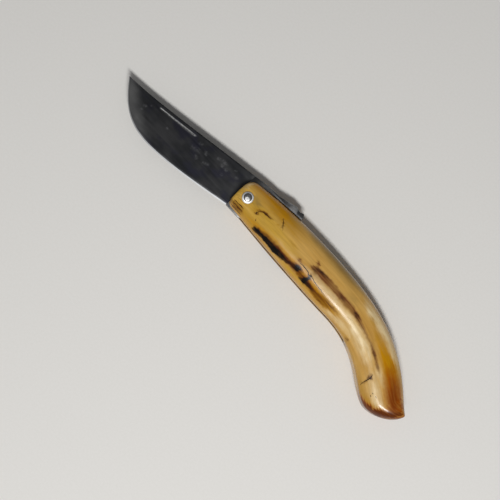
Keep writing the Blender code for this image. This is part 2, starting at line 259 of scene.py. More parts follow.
def handle_curves():
    """The back and belly of each stretch of the handle: nose, grip, droop and butt."""
    front_x = -FRONT_REACH
    nose = point(front_x + NOSE_LENGTH, NOSE_RISE)
    nose_back = (
        point(front_x, NOSE_RISE - 1.4 * NOSE_LENGTH),
        point(front_x, NOSE_RISE - 0.75 * NOSE_LENGTH),
        point(front_x + 0.35 * NOSE_LENGTH, NOSE_RISE - 0.2 * NOSE_LENGTH),
        nose,
    )
    chin = point(front_x + CHIN_LENGTH, -CHIN_DROP)
    nose_belly = (
        point(front_x, CHIN_RISE - CHIN_DROP),
        point(front_x, 0.5 * CHIN_RISE - CHIN_DROP),
        point(front_x + 0.5 * CHIN_LENGTH, 0.12 * CHIN_RISE - CHIN_DROP),
        chin,
    )
    bend_back, bend_belly = point(BEND_REACH, BEND_RISE), point(BEND_REACH, -BELLY_DROP)
    crest = (8 * BACK_RISE - NOSE_RISE - BEND_RISE) / 6
    grip = bend_back.x - nose.x
    grip_back = (nose, point(nose.x + 0.34 * grip, crest), point(nose.x + 0.73 * grip, crest), bend_back)
    sag = bend_belly - chin
    behind_chin = chin + point(0.33 * sag.x, 0.6 * sag.y)
    grip_belly = (chin, behind_chin, bend_belly - point(0.27 * sag.x, 0), bend_belly)
    beak = point(BUTT_REACH, -BEAK_DROP)
    droop = (beak - bend_back).length
    along = (bend_back - grip_back[2]).normalized()
    slope = point(math.cos(BEAK_ANGLE), -math.sin(BEAK_ANGLE))
    droop_back = (bend_back, bend_back + along * (0.345 * droop), beak - slope * (0.427 * droop), beak)
    knob = point(KNOB_REACH, -KNOB_DROP)
    fall = knob.x - bend_belly.x
    droop_belly = (bend_belly, bend_belly + point(0.58 * fall, 0), knob - point(0.21 * fall, 0), knob)
    rise = beak - knob
    butt_belly = (knob, knob + point(0.45 * rise.x, 0), beak - point(0.02 * rise.x, 0.5 * rise.y), beak)
    return {
        "nose": (nose_back, nose_belly),
        "grip": (grip_back, grip_belly),
        "droop": (droop_back, droop_belly),
        "butt": (droop_back, butt_belly),
    }


def handle_stations():
    """The back point, belly point and half thickness of each section, from the front end to the beak."""
    curves = handle_curves()
    full = CHEEK_HALF
    stations = []
    for i in range(NOSE_STEPS):
        t = i / NOSE_STEPS
        back, belly = curves["nose"]
        half = FRONT_HALF - NOSE_ROUND * (1 - math.sqrt(1 - (1 - t) ** 2))
        stations.append((cubic(back, t), cubic(belly, t), half))
    for i in range(GRIP_STEPS):
        t = i / GRIP_STEPS
        back, belly = curves["grip"]
        half = FRONT_HALF + (full - FRONT_HALF) * eased((t - SWELL_START) / SWELL_SPAN)
        stations.append((cubic(back, t), cubic(belly, t), half))
    for i in range(DROOP_STEPS):
        t = i / DROOP_STEPS
        back, belly = curves["droop"]
        stations.append((cubic(back, t * BACK_AT_KNOB), cubic(belly, t), full))
    for i in range(BUTT_STEPS):
        t = BEAK_STOP * i / (BUTT_STEPS - 1)
        back, belly = curves["butt"]
        half = BEAK_HALF + (full - BEAK_HALF) * math.sqrt(1 - t * t)
        stations.append((cubic(back, BACK_AT_KNOB + (1 - BACK_AT_KNOB) * t), cubic(belly, t), half))
    return stations


def back_line():
    curves = handle_curves()
    return [*sampled(curves["nose"][0]), *sampled(curves["grip"][0])[1:]]


def tail_top():
    """The tail's upper line, from the tang to the tail's rounded end."""
    back = back_line()
    start, end = SLOT_TOP_END, TAIL_REACH
    heights = (
        (0.0, TAIL_ROOT),
        (0.3, (TAIL_ROOT + TAIL_CREST) / 2),
        (0.61, TAIL_CREST),
        (0.75, TAIL_CREST - TAIL_DIP),
        (0.9, TAIL_CREST - TAIL_DIP / 3),
    )
    xs = [start + (end - start) * share for share, _ in heights]
    points = [point(x, height_at(back, x) + TAIL_GAP + high) for x, (_, high) in zip(xs, heights)]
    tip = point(end, height_at(back, end) + TAIL_GAP + (TAIL_CREST - TAIL_DIP) / 2)
    return through([*points, tip])


def tang_outline():
    """The tang and its tail as one flat outline, from the plunge along the top and back underneath."""
    back = back_line()
    top = tail_top()
    front = point(-PLUNGE_REACH, SPINE_RISE)
    shoulder = top[0]
    rise = front + point(0.4 * TANG_RADIUS, 0.06 * TANG_RADIUS)
    crown = (front, rise, point(0.4 * TANG_RADIUS, shoulder.y), shoulder)
    seated = [p.x for p in reversed(top) if p.x < TAIL_REACH - TAIL_NIB]
    under = [point(x, height_at(back, x) + TAIL_GAP) for x in seated]
    root = point(TANG_RADIUS, under[-1].y)
    arc = [TANG_SWEEP * i / LINE_STEPS for i in range(LINE_STEPS + 1)]
    round_back = [point(math.cos(a), -math.sin(a)) * TANG_RADIUS for a in arc]
    return [*sampled(crown, 12)[:-1], *top, *under, root, *round_back, point(-PLUNGE_REACH, -HEEL_DROP)]


def slot_outline():
    """The saw cut: clear of the folded blade, open along the belly, and through the back by the tang."""
    roof = max(p.y for p in folded(edge_line())) + SWING_PLAY
    deep = folded([point(-EDGE_REACH, -EDGE_DROP)])[0]
    tip = folded([point(-BLADE_REACH, TIP_RISE)])[0]
    end = tip.x + SWING_PLAY
    front, above, below = -FRONT_REACH - CUT_OVER, BACK_RISE + CUT_OVER, -KNOB_DROP - CUT_OVER
    wide, high = end - deep.x, roof - tip.y
    quarter = quarter_turn(LINE_STEPS)
    round_end = [point(deep.x + wide * math.sin(a), tip.y + high * math.cos(a)) for a in quarter]
    mouth = [point(front, above), point(SLOT_TOP_END, above), point(SLOT_TOP_END, roof)]
    return [*mouth, *round_end, point(end, below), point(front, below)]


# Modelling


def add_object(name, data):
    made = bpy.data.objects.new(name, data)
    bpy.context.scene.collection.objects.link(made)
    return made


def turned_to(axes):
    """A turn that brings X, Y and Z to these axes."""
    return Matrix([[axis[i] for axis in axes] for i in range(3)]).to_4x4()


def add_piece(name, shape):
    """Turns a bmesh, drawn from the rivet's axis, into an object at its place in the knife."""
    bmesh.ops.recalc_face_normals(shape, faces=shape.faces)
    bmesh.ops.translate(shape, vec=pivot, verts=shape.verts)
    mesh = bpy.data.meshes.new(name)
    shape.to_mesh(mesh)
    shape.free()
    return add_object(name, mesh)


def join_shape(target, operation, other):
    modifier = target.modifiers.new(other.name, "BOOLEAN")
    modifier.operation = operation
    modifier.solver = "EXACT"
    modifier.object = other


def bake_modifiers(made, *helpers):
    """Applies a piece's modifiers, and removes the pieces that they used."""
    bpy.context.view_layer.update()
    graph = bpy.context.evaluated_depsgraph_get()
    mesh = bpy.data.meshes.new_from_object(made.evaluated_get(graph))
    made.modifiers.clear()
    made.data = mesh
    for helper in helpers:
        bpy.data.objects.remove(helper)


def plate(outline, half):
    """A flat outline as a solid, half thick each way from the blade's plane."""
    shape = bmesh.new()
    corners = [shape.verts.new((*p.xy, -half)) for p in outline]
    edges = [shape.edges.new(pair) for pair in zip(corners, corners[1:] + corners[:1])]
    face = bmesh.ops.edgeloop_fill(shape, edges=edges)["faces"]
    raised = bmesh.ops.extrude_face_region(shape, geom=face)["geom"]
    top = [v for v in raised if isinstance(v, bmesh.types.BMVert)]
    bmesh.ops.translate(shape, vec=(0, 0, 2 * half), verts=top)
    bmesh.ops.recalc_face_normals(shape, faces=shape.faces)
    return shape


def turned(profile):
    """A profile of (radius, height) pairs turned about the rivet's axis."""
    shape = bmesh.new()
    corners = [shape.verts.new((radius, 0, height)) for radius, height in profile]
    edges = [shape.edges.new(pair) for pair in zip(corners, corners[1:])]
    axis = {"cent": (0, 0, 0), "axis": (0, 0, 1), "angle": math.tau}
    bmesh.ops.spin(shape, geom=corners + edges, steps=TURN_STEPS, use_merge=True, **axis)
    bmesh.ops.remove_doubles(shape, verts=shape.verts, dist=SAME_POINT)
    return shape


def smooth_shaded(made, angle=40):
    made.data.shade_smooth()
    made.data.set_sharp_from_angle(angle=math.radians(angle))


def places_of(made):
    """The piece's points, in millimetres from the rivet's axis."""
    flat = np.empty(len(made.data.vertices) * 3)
    made.data.vertices.foreach_get("co", flat)
    return (flat.reshape(-1, 3) - np.array(pivot)) * MM


def add_attribute(made, name, values):
    attribute = made.data.attributes.new(name, "FLOAT" if values.ndim == 1 else "FLOAT_VECTOR", "POINT")
    attribute.data.foreach_set("value" if values.ndim == 1 else "vector", values.astype(np.float32).ravel())


# The camera


def camera_axes():
    """The picture's right and up, and the way back from the knife to the camera."""
    back = Vector((0, -math.sin(CAMERA_LEAN), math.cos(CAMERA_LEAN)))
    right = Vector((math.cos(IMAGE_TURN), math.sin(IMAGE_TURN), 0))
    right = (right - back * right.dot(back)).normalized()
    return right, back.cross(right), back


def camera_place():
    """The camera's place, from the rivet's axis."""
    return VIEW_CENTRE + camera_axes()[2] * (VIEW_WIDTH * LENS_MM / SENSOR_MM)


def as_seen(places):
    """Where the photograph shows each place in the blade's plane, in millimetres from the washer's middle."""
    eye = np.array(camera_place()) * MM
    washer = np.array([[0, 0, (SEAT_HALF + SEAT_GAP + WASHER_THICK) * MM]])
    share, washer_share = (eye[2] / (eye[2] - spots[:, 2:]) for spots in (places, washer))
    return (places[:, :2] - eye[:2]) * share - (washer[:, :2] - eye[:2]) * washer_share


# Tints in the near cheek, as the camera sees them, among them painted highlights and shade: strokes of (x, y,
# half width, strength) in millimetres
NEAR_MARKS = {
    "lemon_and_arris_highlight": [
        [(-6, -1, 10, 1), (6, -2, 10, 1), (20, -1.5, 8, 1), (30, -2, 6, 0.8), (38, -3, 4, 0)],
        # A painted highlight: the bright line along the near cheek's arris over the belly
        [(29, -9.5, 0.9, 0), (36, -9.2, 1.3, 1), (42, -9.4, 1.1, 0.7), (52, -9.8, 1, 0.4),
         (58, -10, 0.8, 0)],
    ],
    "cream_and_highlight": [
        [(-4.7, 1.6, 1, 0.2), (-4.2, 4.4, 1.7, 0.6), (-3, 6, 1.6, 0.6), (-1.6, 6.7, 0.9, 0)],
        # Partly a painted highlight: a pale band beside the gloss strip, over the bend and on the butt, where
        # the lamp's reflection falls
        [(36, -3.2, 1.4, 0), (44, -2.6, 1.8, 0.4), (50, -2.8, 2.2, 0.5), (62, -3.4, 2.8, 0.6),
         (72, -4.6, 3.4, 0.7), (80, -6.6, 4.8, 1), (88, -9.6, 5.2, 0.8), (96, -14, 4.6, 0.15),
         (104, -19, 5, 0.6), (108, -21.4, 3.6, 0.8), (113, -21.8, 1.8, 0.4)],
        [(71, 6.2, 2, 0), (78, 5, 3.2, 1), (86, 3.4, 3, 1), (94, 1, 2.4, 0.9), (101, -2.2, 2, 0.8),
         (107, -6, 1, 0)],
        # A painted highlight along the belly's arris
        [(58, -10.6, 1, 0), (64, -9.8, 1.8, 0.5), (70, -9.2, 2.6, 0.7), (78, -9.6, 2.4, 0.4)],
        [(96.6, -9.6, 2, 0), (100.4, -12.4, 3, 0.7), (105, -15, 2.4, 0.2)],
        [(116.2, -15.8, 0.5, 0), (117.8, -17.2, 0.8, 0.5), (119.4, -19, 0.6, 0.3)],
        [(117.4, -19.4, 0.4, 0), (118.8, -18.2, 0.6, 0.5), (119.6, -16.9, 0.4, 0)],
        [(108, -7.6, 0.5, 0), (110, -10.8, 0.7, 0.35), (112.6, -14.4, 0.4, 0)],
    ],
    "gold": [
        [(18, 7.2, 5, 0.9), (24, 6.8, 5, 0.8), (30, 6.4, 4.2, 0.4), (40, 6.4, 3, 0)],
        [(-1, 4.8, 2, 0.2), (6, 4.6, 2.6, 0.5), (12, 4.6, 3, 0.8), (18, 4.4, 3.2, 0.8),
         (26, 4.2, 3, 0.6), (34, 4, 2.5, 0)],
        [(5.4, -1.2, 1.8, 0.5), (7.4, -1.2, 2, 0.9), (9.6, 0.4, 1.6, 0.7), (12.4, 1.2, 1, 0)],
        [(17, 1.5, 0.7, 0), (19.2, 1.6, 1, 0.9), (21.4, 1.4, 0.6, 0)],
        [(26, 0.1, 0.8, 0), (30, 0.1, 1.1, 0.7), (34, 0.1, 0.6, 0)],
        [(79.6, 3.3, 1.8, 0.3), (82, 2.5, 2.2, 0.8), (84.4, 1.6, 1.6, 0)],
        [(85.6, -0.6, 1.6, 0.3), (88, -1.4, 2.2, 0.7), (90.6, -2.4, 1.6, 0.2)],
        [(90.6, -12, 1.6, 0), (93.4, -13.2, 2.4, 0.5), (97, -16, 2.4, 0.4), (99, -18, 1.6, 0)],
        [(-4, -6, 2.5, 0.4), (2, -6.6, 3, 0.5), (8, -6.8, 3, 0.5), (16, -5, 2, 0.4)],
        [(92, -18.6, 1.2, 0), (96, -21, 1.6, 0.5), (101, -24, 2, 0.6), (108, -25, 1.4, 0.5)],
        [(70, -10.4, 1, 0), (78, -12, 1.2, 0.5), (88, -16.2, 1.2, 0.3)],
    ],
    "tan_and_shade": [
        # A greyish tone along the back, darkened partly as painted shade where the back turns away from the
        # light
        [(24, 11, 2, 0), (34, 11, 4.2, 0.8), (48, 10.6, 5.4, 0.9), (59, 9.8, 5.2, 0.8),
         (70, 8.8, 3, 0.2)],
        [(2.4, 2.6, 2.2, 0.6), (5.6, 1.6, 2.8, 0.8), (8.6, 2.2, 2, 0)],
        # A painted shadow beside the washer
        [(-5, 2.2, 1.8, 0.6), (-3.8, -1.6, 1.8, 0.5), (-2.4, -3.4, 1.4, 0.2)],
        [(60, 3.4, 2.4, 0), (68, 3, 2.6, 0.4), (74, 2.4, 2, 0)],
    ],
    "ochre": [
        [(-3.4, 7.5, 1.2, 0.3), (0, 8.2, 2.6, 0.9), (6, 8.8, 3.6, 1), (12, 9, 4.6, 1),
         (17.4, 8.8, 5.4, 1), (19.2, 8.6, 5, 0.35), (21.4, 8.4, 4, 0)],
        [(8, -7.2, 2.4, 0), (12, -7, 2.6, 0.5), (17, -5.6, 1.8, 0.7), (24, -5, 1.7, 0.6),
         (31, -5.4, 1.7, 0.7), (37, -5.2, 1.8, 0.9), (42, -6, 2.8, 1), (48, -6.8, 3, 1),
         (56, -7.6, 2.8, 1), (62, -7.9, 2.2, 0.9), (67.6, -7.4, 1.2, 0)],
        [(87, -1.4, 1, 0), (92, -3, 2, 0.6), (97, -4.6, 3.4, 1), (103, -7.4, 4.4, 1),
         (108, -11, 4, 0.7)],
    ],
    "amber": [
        [(99, -5, 2, 0), (103, -7.6, 3.8, 0.6), (107.4, -10.6, 5.2, 1), (113, -14.8, 6.2, 1),
         (119, -18.4, 5.6, 1)],
        [(96, -24, 1, 0.2), (101, -26.2, 1.7, 0.8), (107, -26.8, 2.3, 1), (113, -25.2, 2.9, 1),
         (119, -20.4, 3, 1)],
        [(100, -29, 2.2, 0.8), (108, -31, 4.2, 1), (116, -29, 5, 1), (123, -23, 4.5, 1),
         (125, -17, 4, 1)],
    ],
    "russet": [
        [(106, -8.6, 1.8, 0), (110, -12.2, 3.4, 0.8), (114, -16, 4, 0.9), (117.4, -18.8, 3.2, 0.9),
         (120.6, -18, 2.4, 0.8)],
        [(100, -27, 1.2, 0.3), (107, -27.4, 1.8, 0.8), (113.4, -25.6, 2.2, 1), (118.6, -21.2, 2.2, 1)],
    ],
    "umber": [
        [(42.6, 0.3, 1.4, 0), (44.6, 0, 2.2, 0.9), (50, -0.1, 2.2, 1), (56, -0.1, 2.1, 0.85),
         (62, -0.2, 2.1, 0.9), (70, -0.6, 1.9, 0.8), (74, -1.4, 1.7, 1), (77, -2.2, 1.2, 0.7),
         (83, -3.8, 0.9, 0.45), (88, -5.4, 0.9, 0.5), (92, -7.4, 1, 0.8), (95.6, -9.4, 0.9, 0.5),
         (98.4, -10.8, 0.8, 0.5), (100.6, -12.2, 0.6, 0.2), (102.6, -13.6, 0.6, 0)],
        [(40.6, 0.2, 2.2, 0), (46, -0.6, 3.2, 0.4), (56, -0.8, 2.8, 0.3), (68, -1.2, 2.6, 0.2)],
        [(42.8, 3.2, 0.7, 0), (44.2, 2.7, 1, 0.9), (45.6, 1.6, 0.8, 0.6)],
        [(35.2, -2.4, 0.7, 0), (37, -2.3, 1.1, 0.9), (39.4, -2.8, 0.7, 0.2)],
    ],
    "brown_and_shade": [
        [(10.4, -7.5, 0.8, 0), (13, -7.4, 1.6, 0.8), (20, -6.8, 2.3, 1), (26, -6.6, 2.5, 1),
         (31, -7.3, 2.1, 1), (35, -6.8, 2, 1), (39.3, -6, 2.8, 1), (43, -6.9, 1.7, 0.8),
         (46, -7.5, 2.3, 1), (50.5, -7.9, 1.6, 1), (56, -7.9, 1.6, 0.8), (62, -8.2, 1.3, 0.6),
         (65, -8, 0.8, 0)],
        [(51, -6.3, 0.6, 0), (58, -6.6, 0.8, 0.5), (63, -6.8, 0.9, 0.7), (67.6, -6.9, 0.5, 0.2)],
        [(51, -9, 0.7, 0), (57, -9, 1, 0.8), (63, -9.3, 0.6, 0)],
        [(77.4, -11.2, 0.7, 0), (78.8, -12, 1.1, 0.7), (80.2, -13, 0.6, 0)],
        [(45.9, -3.4, 0.9, 0.6), (46.2, -5.6, 1.7, 0.9)],
        [(97.9, -15.2, 0.9, 0.4), (98.8, -16.6, 1.5, 0.8), (98.4, -18.6, 1, 0.5), (98, -21, 0.7, 0.3)],
        # A painted shadow under the front furrows
        [(-4.2, -6.6, 1.4, 0.5), (-1, -6.6, 1.9, 0.6), (2, -6.8, 1.6, 0.5), (4.4, -7.4, 0.9, 0)],
        # Painted shade along the butt's rim, where its end turns away from the light
        [(97, -25.6, 1.6, 0.3), (102, -27, 1.9, 0.6), (107.4, -27.4, 2, 0.7), (113, -25.6, 2.6, 1),
         (117.8, -21.8, 2.4, 0.9), (120.6, -18, 1.6, 0.7)],
        [(104, -29.4, 1.6, 0.3), (110, -29.8, 2.4, 0.6), (117, -26.4, 2.6, 0.6),
         (122.4, -20.4, 2.2, 0.6)],
        [(8, -2, 0.9, 0.8), (8, -1, 1, 0.4), (9.4, 0.3, 1, 0.7), (11, 0.7, 1, 0.9),
         (14.6, 0.9, 0.5, 0.3)],
        [(18.6, 5.2, 0.5, 0.3), (20.2, 3.4, 0.6, 0.6), (21.8, 1.6, 0.4, 0.3)],
    ],
    "bark": [
        [(43.8, 0.6, 0.9, 0.2), (45.6, 0.5, 1.4, 0.8), (49, 0.9, 1, 0.8), (53, 1, 0.7, 0.3),
         (56, 1, 0.5, 0)],
        [(44.6, -0.8, 1, 0.2), (46.2, -0.9, 1.4, 0.7), (48.6, -0.9, 1, 0.1)],
        [(61, -0.1, 0.9, 0), (63.4, -0.3, 1.2, 0.6), (66, -0.4, 0.9, 0)],
        [(71.4, -0.1, 0.8, 0.1), (73.6, -1.1, 1.3, 1), (76.4, -2.2, 0.8, 0.1)],
        [(91.4, -7.3, 0.6, 0.1), (93.4, -8.3, 0.8, 0.4), (95.2, -9.2, 0.5, 0)],
        [(96.2, -9.7, 0.6, 0.1), (98, -10.6, 0.8, 0.5), (99.4, -11.4, 0.5, 0)],
        [(98.6, -15.4, 0.6, 0.4), (98.9, -16.6, 0.8, 0.7), (98.5, -18, 0.5, 0.3)],
    ],
    "dark": [
        [(11.6, -7.7, 0.8, 0.8), (13.4, -7.8, 1.2, 1), (17, -7.8, 1.4, 1), (20, -7.7, 1.7, 1),
         (23, -7.6, 1.8, 1), (27, -7.7, 1.8, 1), (30, -7.9, 1.6, 1), (32.6, -7.8, 1.1, 0.8),
         (36.4, -6.6, 0.9, 0.6), (39.1, -6.1, 1.8, 1), (39.6, -6, 1.8, 1)],
        [(46, -3.9, 0.8, 1), (46.1, -5.4, 0.8, 0.9), (46, -7.3, 1.5, 1), (45.9, -8, 1.5, 1)],
        [(43.6, -8.2, 0.8, 0.6), (46, -8.3, 1, 0.9), (49.4, -8.1, 0.8, 0.8), (52, -7.9, 0.5, 0.2)],
    ],
}

# The far cheek, which the same growth lines run through, with its own painted highlights beside the gloss and
# painted shade along the back
FAR_MARKS = {
    "lemon_and_arris_highlight": [[(-6, 1, 8, 0.8), (8, 0, 9, 1), (24, -1, 7, 0.7), (36, -3, 4, 0)]],
    "cream_and_highlight": [
        [(30, -2, 2.4, 0), (55, -3.4, 3, 0.6), (76, -6, 4.4, 1), (92, -12, 5, 0.9), (104, -19, 5, 0.8)],
        [(70, 6.6, 1.8, 0), (82, 4.4, 2.2, 0.8), (96, 0, 1.8, 0)],
    ],
    "gold": [
        [(18, 7.6, 4.4, 0.8), (28, 7, 4, 0.4), (38, 7, 3, 0)],
        [(82, 2, 2.2, 0.2), (90, -2, 2.6, 0.7)],
    ],
    "tan_and_shade": [[(28, 10.8, 2.4, 0), (44, 10.6, 4.6, 0.9), (60, 10, 3.4, 0)]],
    "ochre": [
        [(-4, 7.4, 1.8, 0.3), (8, 8.6, 3.6, 1), (17, 8.4, 4, 0.8), (22, 8.4, 3, 0)],
        [(88, -1, 2, 0), (97, -4.2, 4, 1), (104, -8, 4.4, 1)],
    ],
    "amber": [
        [(98, -4.8, 2.4, 0), (104, -8, 4.8, 0.8), (110, -12, 5.8, 1), (120, -19, 6, 1)],
        [(96, -24.6, 1.2, 0), (107, -27, 2.2, 0.9), (113, -26, 3, 1), (119, -22, 3.4, 1)],
    ],
    "russet": [[(106, -8.4, 2, 0), (113, -15.6, 4.4, 0.8), (118, -19.6, 3.6, 0.9)]],
    "umber": [
        [(30, 2.2, 1, 0), (40, 2.6, 2, 0.7), (52, 2.2, 2.4, 0.7), (63, 1.6, 1.8, 0.7),
         (75, -0.6, 1.6, 0.6), (86, -4.2, 1.4, 0.5), (96, -8.8, 1.2, 0)],
    ],
    "brown_and_shade": [
        [(13, -6.8, 0.8, 0), (24, -6.8, 2.4, 0.9), (36, -7.2, 2.6, 0.9), (46, -7.4, 2.2, 0.9),
         (62, -7.6, 0.8, 0)],
    ],
    "bark": [[(44, 2.4, 1, 0), (48, 2.4, 1.2, 0.6), (53, 2.2, 0.8, 0)]],
    "dark": [
        [(17, -7.5, 0.7, 0.4), (25, -7.6, 1.7, 1), (34, -7.9, 1.8, 1), (41, -7.8, 0.8, 0.5)],
        [(48.6, -7, 1.5, 1), (48.9, -7, 1.5, 1)],
    ],
}

# Thin lines in the near cheek and the far one: strokes of (x, y, half width) in millimetres
NEAR_LINES = {
    "crack": [
        [(38.5, -3.3, 0.2), (40.6, -3, 0.32), (43, -3.5, 0.28), (45.2, -4.2, 0.34), (48, -4.1, 0.3),
         (51, -4.8, 0.28), (54, -5.1, 0.26), (57.5, -5.7, 0.12)],
        [(98.6, -14.6, 0.16), (99.1, -16.6, 0.34), (98.6, -18.4, 0.3), (98.1, -20, 0.24),
         (97.9, -22, 0.22)],
        [(8.1, -2.3, 0.3), (7.6, -1.6, 0.3)],
        [(9.2, 0.2, 0.1), (10.4, 0.6, 0.28), (12, 0.8, 0.2), (14.6, 0.9, 0.1)],
        [(18.3, 5.4, 0.16), (20.1, 3.4, 0.3), (22.2, 1.1, 0.14)],
        [(104.4, -20.6, 0.2), (105.2, -20.7, 0.25)],
        [(106.6, -20.6, 0.2), (107.6, -20.9, 0.22)],
        [(104.6, -22, 0.2), (105.4, -22.2, 0.25)],
    ],
    "furrow": [
        [(-4, -5.2, 0.2), (-2.4, -5, 0.4), (-0.8, -5.2, 0.3), (0.8, -5, 0.45), (2.6, -5.2, 0.2)],
        [(-3.8, -6, 0.2), (-2.6, -6.5, 0.4), (-1.2, -6.3, 0.3), (0.4, -6.6, 0.55), (1.6, -6.4, 0.4),
         (3, -6.6, 0.2)],
        [(-3.4, -7.7, 0.2), (-1.4, -7.9, 0.4), (0.8, -7.7, 0.3), (3.4, -8, 0.2)],
        [(-3.4, -3.4, 0.1), (-2, -3, 0.26), (-0.6, -3.3, 0.1)],
        [(7.8, -1.9, 0.3), (8.3, -0.6, 0.26), (9.4, 0.4, 0.35), (12.4, 0.9, 0.4), (14.6, 0.9, 0.2)],
        [(9.4, -3.6, 0.1), (10, -4.6, 0.36), (10.2, -5.4, 0.1)],
        [(56, -7.1, 0.1), (61, -6.9, 0.3), (67.2, -6.9, 0.1)],
        [(71, -4.4, 0.1), (73, -4.5, 0.2), (75, -4.2, 0.1)],
        [(76, -2.1, 0.2), (80, -3.1, 0.22), (84, -4.1, 0.16), (88, -5.4, 0.18), (91.6, -7.2, 0.25),
         (96, -9.6, 0.2)],
    ],
}
FAR_LINES = {
    "crack": [
        [(52, -4.6, 0.1), (58, -5, 0.2), (64, -5.6, 0.1)],
        [(95, -16, 0.15), (95.4, -18.6, 0.3), (95, -21, 0.15)],
    ],
    "furrow": [[(6, -1.6, 0.1), (9, -0.6, 0.25), (13, -0.2, 0.1)]],
}

# Marks on the blade: strokes of (x, y, half width, strength) in millimetres
BLADE_MARKS = {
    "rubbed_and_sheen": [
        # Steel lightened by rubbing at the tip, the tang and the tail's end, and partly a painted sheen
        [(-79, 0, 4, 0.8), (-73, -4.6, 6, 1), (-66, -9.4, 6, 1), (-59, -12.4, 4.4, 0.8),
         (-48, -15, 3, 0)],
        [(-5, 9.4, 2, 0.5), (4, 11.2, 2, 0.9), (9.5, 12, 1.2, 0.5)],
        [(20.4, 13.4, 1, 0.3), (22.6, 13.4, 1.6, 0.9), (24.2, 12.8, 1.2, 0.6)],
    ],
    "worn_and_highlight": [
        # Painted highlights: the bright top edges of the tang and the tail, the lit face under the tang and
        # the lit wall of the nail nick, over some wear on the tang and tail
        [(0.4, 11, 0.4, 0.2), (4, 11.7, 0.6, 0.7), (8.4, 12.3, 0.6, 0.8), (10, 12.3, 0.4, 0)],
        [(11.6, 12.4, 0.5, 0), (14, 13.2, 0.9, 0.9), (18.6, 14.3, 1, 1), (20, 14.2, 0.6, 0.4)],
        [(-5, -8.6, 0.8, 0.6), (0, -8.9, 1, 1), (3.6, -9, 1, 0.8)],
        [(-57.8, 0.3, 0.5, 0.5), (-52, 1, 0.6, 0.9), (-45, 2, 0.7, 1), (-37.6, 3.2, 0.6, 0.9)],
    ],
    "pitted": [
        [(-33.8, 2.3, 0.9, 0.6), (-32.6, 2.6, 0.9, 0.6)],
        [(-28.8, 1.3, 0.9, 0.9), (-27.8, 0.8, 0.9, 0.9)],
        [(-30.8, -3.2, 1.1, 0.6), (-29.8, -3.8, 1.1, 0.6)],
        [(-26, -2.8, 1, 0.7), (-24, -1.8, 1, 0.6)],
        [(-22.8, 3.6, 1.1, 0.8), (-22, 3.9, 1.1, 0.8)],
        [(-20.6, 4.7, 0.9, 0.5), (-18.9, 4.3, 1.1, 0.9), (-17.8, 4.5, 0.8, 0.4)],
        [(-19.4, 2.6, 1, 0.8), (-18.6, 2.4, 0.9, 0.8)],
        [(-16.6, 2.5, 1, 0.8), (-16, 2.2, 0.9, 0.8)],
        [(-16.6, -0.4, 0.8, 0.5), (-16, -0.6, 0.8, 0.5)],
        [(-13.2, 5.4, 0.7, 0.5), (-12.8, 5.6, 0.7, 0.5)],
        [(-10.7, 3.4, 0.8, 0.7), (-10.3, 3.5, 0.8, 0.7)],
        [(-34.6, -1.4, 2, 0.3), (-31.6, -0.6, 2, 0.3)],
        [(-63.8, -4.4, 1, 0.7), (-63.2, -3.8, 1, 0.7)],
        [(-63.8, -6.4, 0.8, 0.6), (-63.4, -6.2, 0.8, 0.6)],
        [(-61.8, -2.2, 0.7, 0.5), (-61.4, -2, 0.7, 0.5)],
        [(-49.2, -3.8, 0.7, 0.8), (-48.8, -4, 0.7, 0.8)],
    ],
}

# How soft a mark's edge is, as a share of its half width, and its fray along the grain in millimetres
EDGES = {"dark": 0.4, "bark": 0.8, "brown_and_shade": 0.7, "umber": 0.6, "ochre": 0.7, "amber": 0.8}
FRAYS = {"dark": 1.0, "bark": 1.4, "brown_and_shade": 1.6, "umber": 1.4}
SOFT_EDGE = 1.0
SOFT_FRAY = 3.0
FURROW_DEPTH = 0.03
LINE_REACH = 1.2
GROOVE_HALF = 0.4
SLOT_MARGIN = 2.0
SLOT_CLEAR = 0.2  # share of that margin that stays uncarved
# Painted shade: a dark strip along the middle of the belly and the slot's walls, where shadow falls, fading
# out before the butt
SLOT_SHADE_HALF = 2.5
SLOT_SHADE_REACH = 82
SLOT_SHADE_FADE = 0.5
SLOT_SHADE_END_FADE = 3
FLANK_FADE = 2

# Noise in the horn, by the sizes of its features along, across and through the grain, in millimetres
LONG_FIBRE = (9.0, 0.7, 0.7)
FINE_FIBRE = (3.0, 0.35, 0.35)
FINE_SHARE = 0.4
SWAY_SIZE = (6.0, 2.0, 2.0)
RIPPLE_SIZE = (1.3, 1.3, 1.3)
SWAY_SHIFT, RIPPLE_SHIFT = 40, 80  # keep the noises apart
TINT_SWAY, TINT_RIPPLE = 0.6, 0.3  # millimetres
LINE_SWAY, LINE_RIPPLE = 0.2, 0.25
SCRAPE_SIZE = (16, 6, 6)


def nearest_on(spots, stroke):
    """For each spot and each stretch of a stroke: how far away the stretch is, how far to its left and past
    its ends the spot lies, and the stroke's other values there."""
    for start, end in zip(np.array(stroke, float), np.array(stroke[1:], float)):
        run = end[:2] - start[:2]
        length = math.hypot(*run)
        offset = spots - start[:2]
        along = offset @ run / length
        share = np.clip(along / length, 0, 1)
        away = np.linalg.norm(offset - share[:, None] * run, axis=1)
        left = (run[0] * offset[:, 1] - run[1] * offset[:, 0]) / length
        beyond = np.maximum(np.maximum(-along, along - length), 0)
        yield away, left, beyond, start[2:] + (end[2:] - start[2:]) * share[:, None]


def tint_strength(spots, strokes, edge):
    """How strongly the strokes tint each spot, from 0 to 1."""
    strongest = np.zeros(len(spots))
    for stroke in strokes:
        for away, _, _, values in nearest_on(spots, stroke):
            depth = np.clip((1 - away / values[:, 0]) / edge, 0, 1)
            strongest = np.maximum(strongest, values[:, 1] * depth * depth * (3 - 2 * depth))
    return strongest


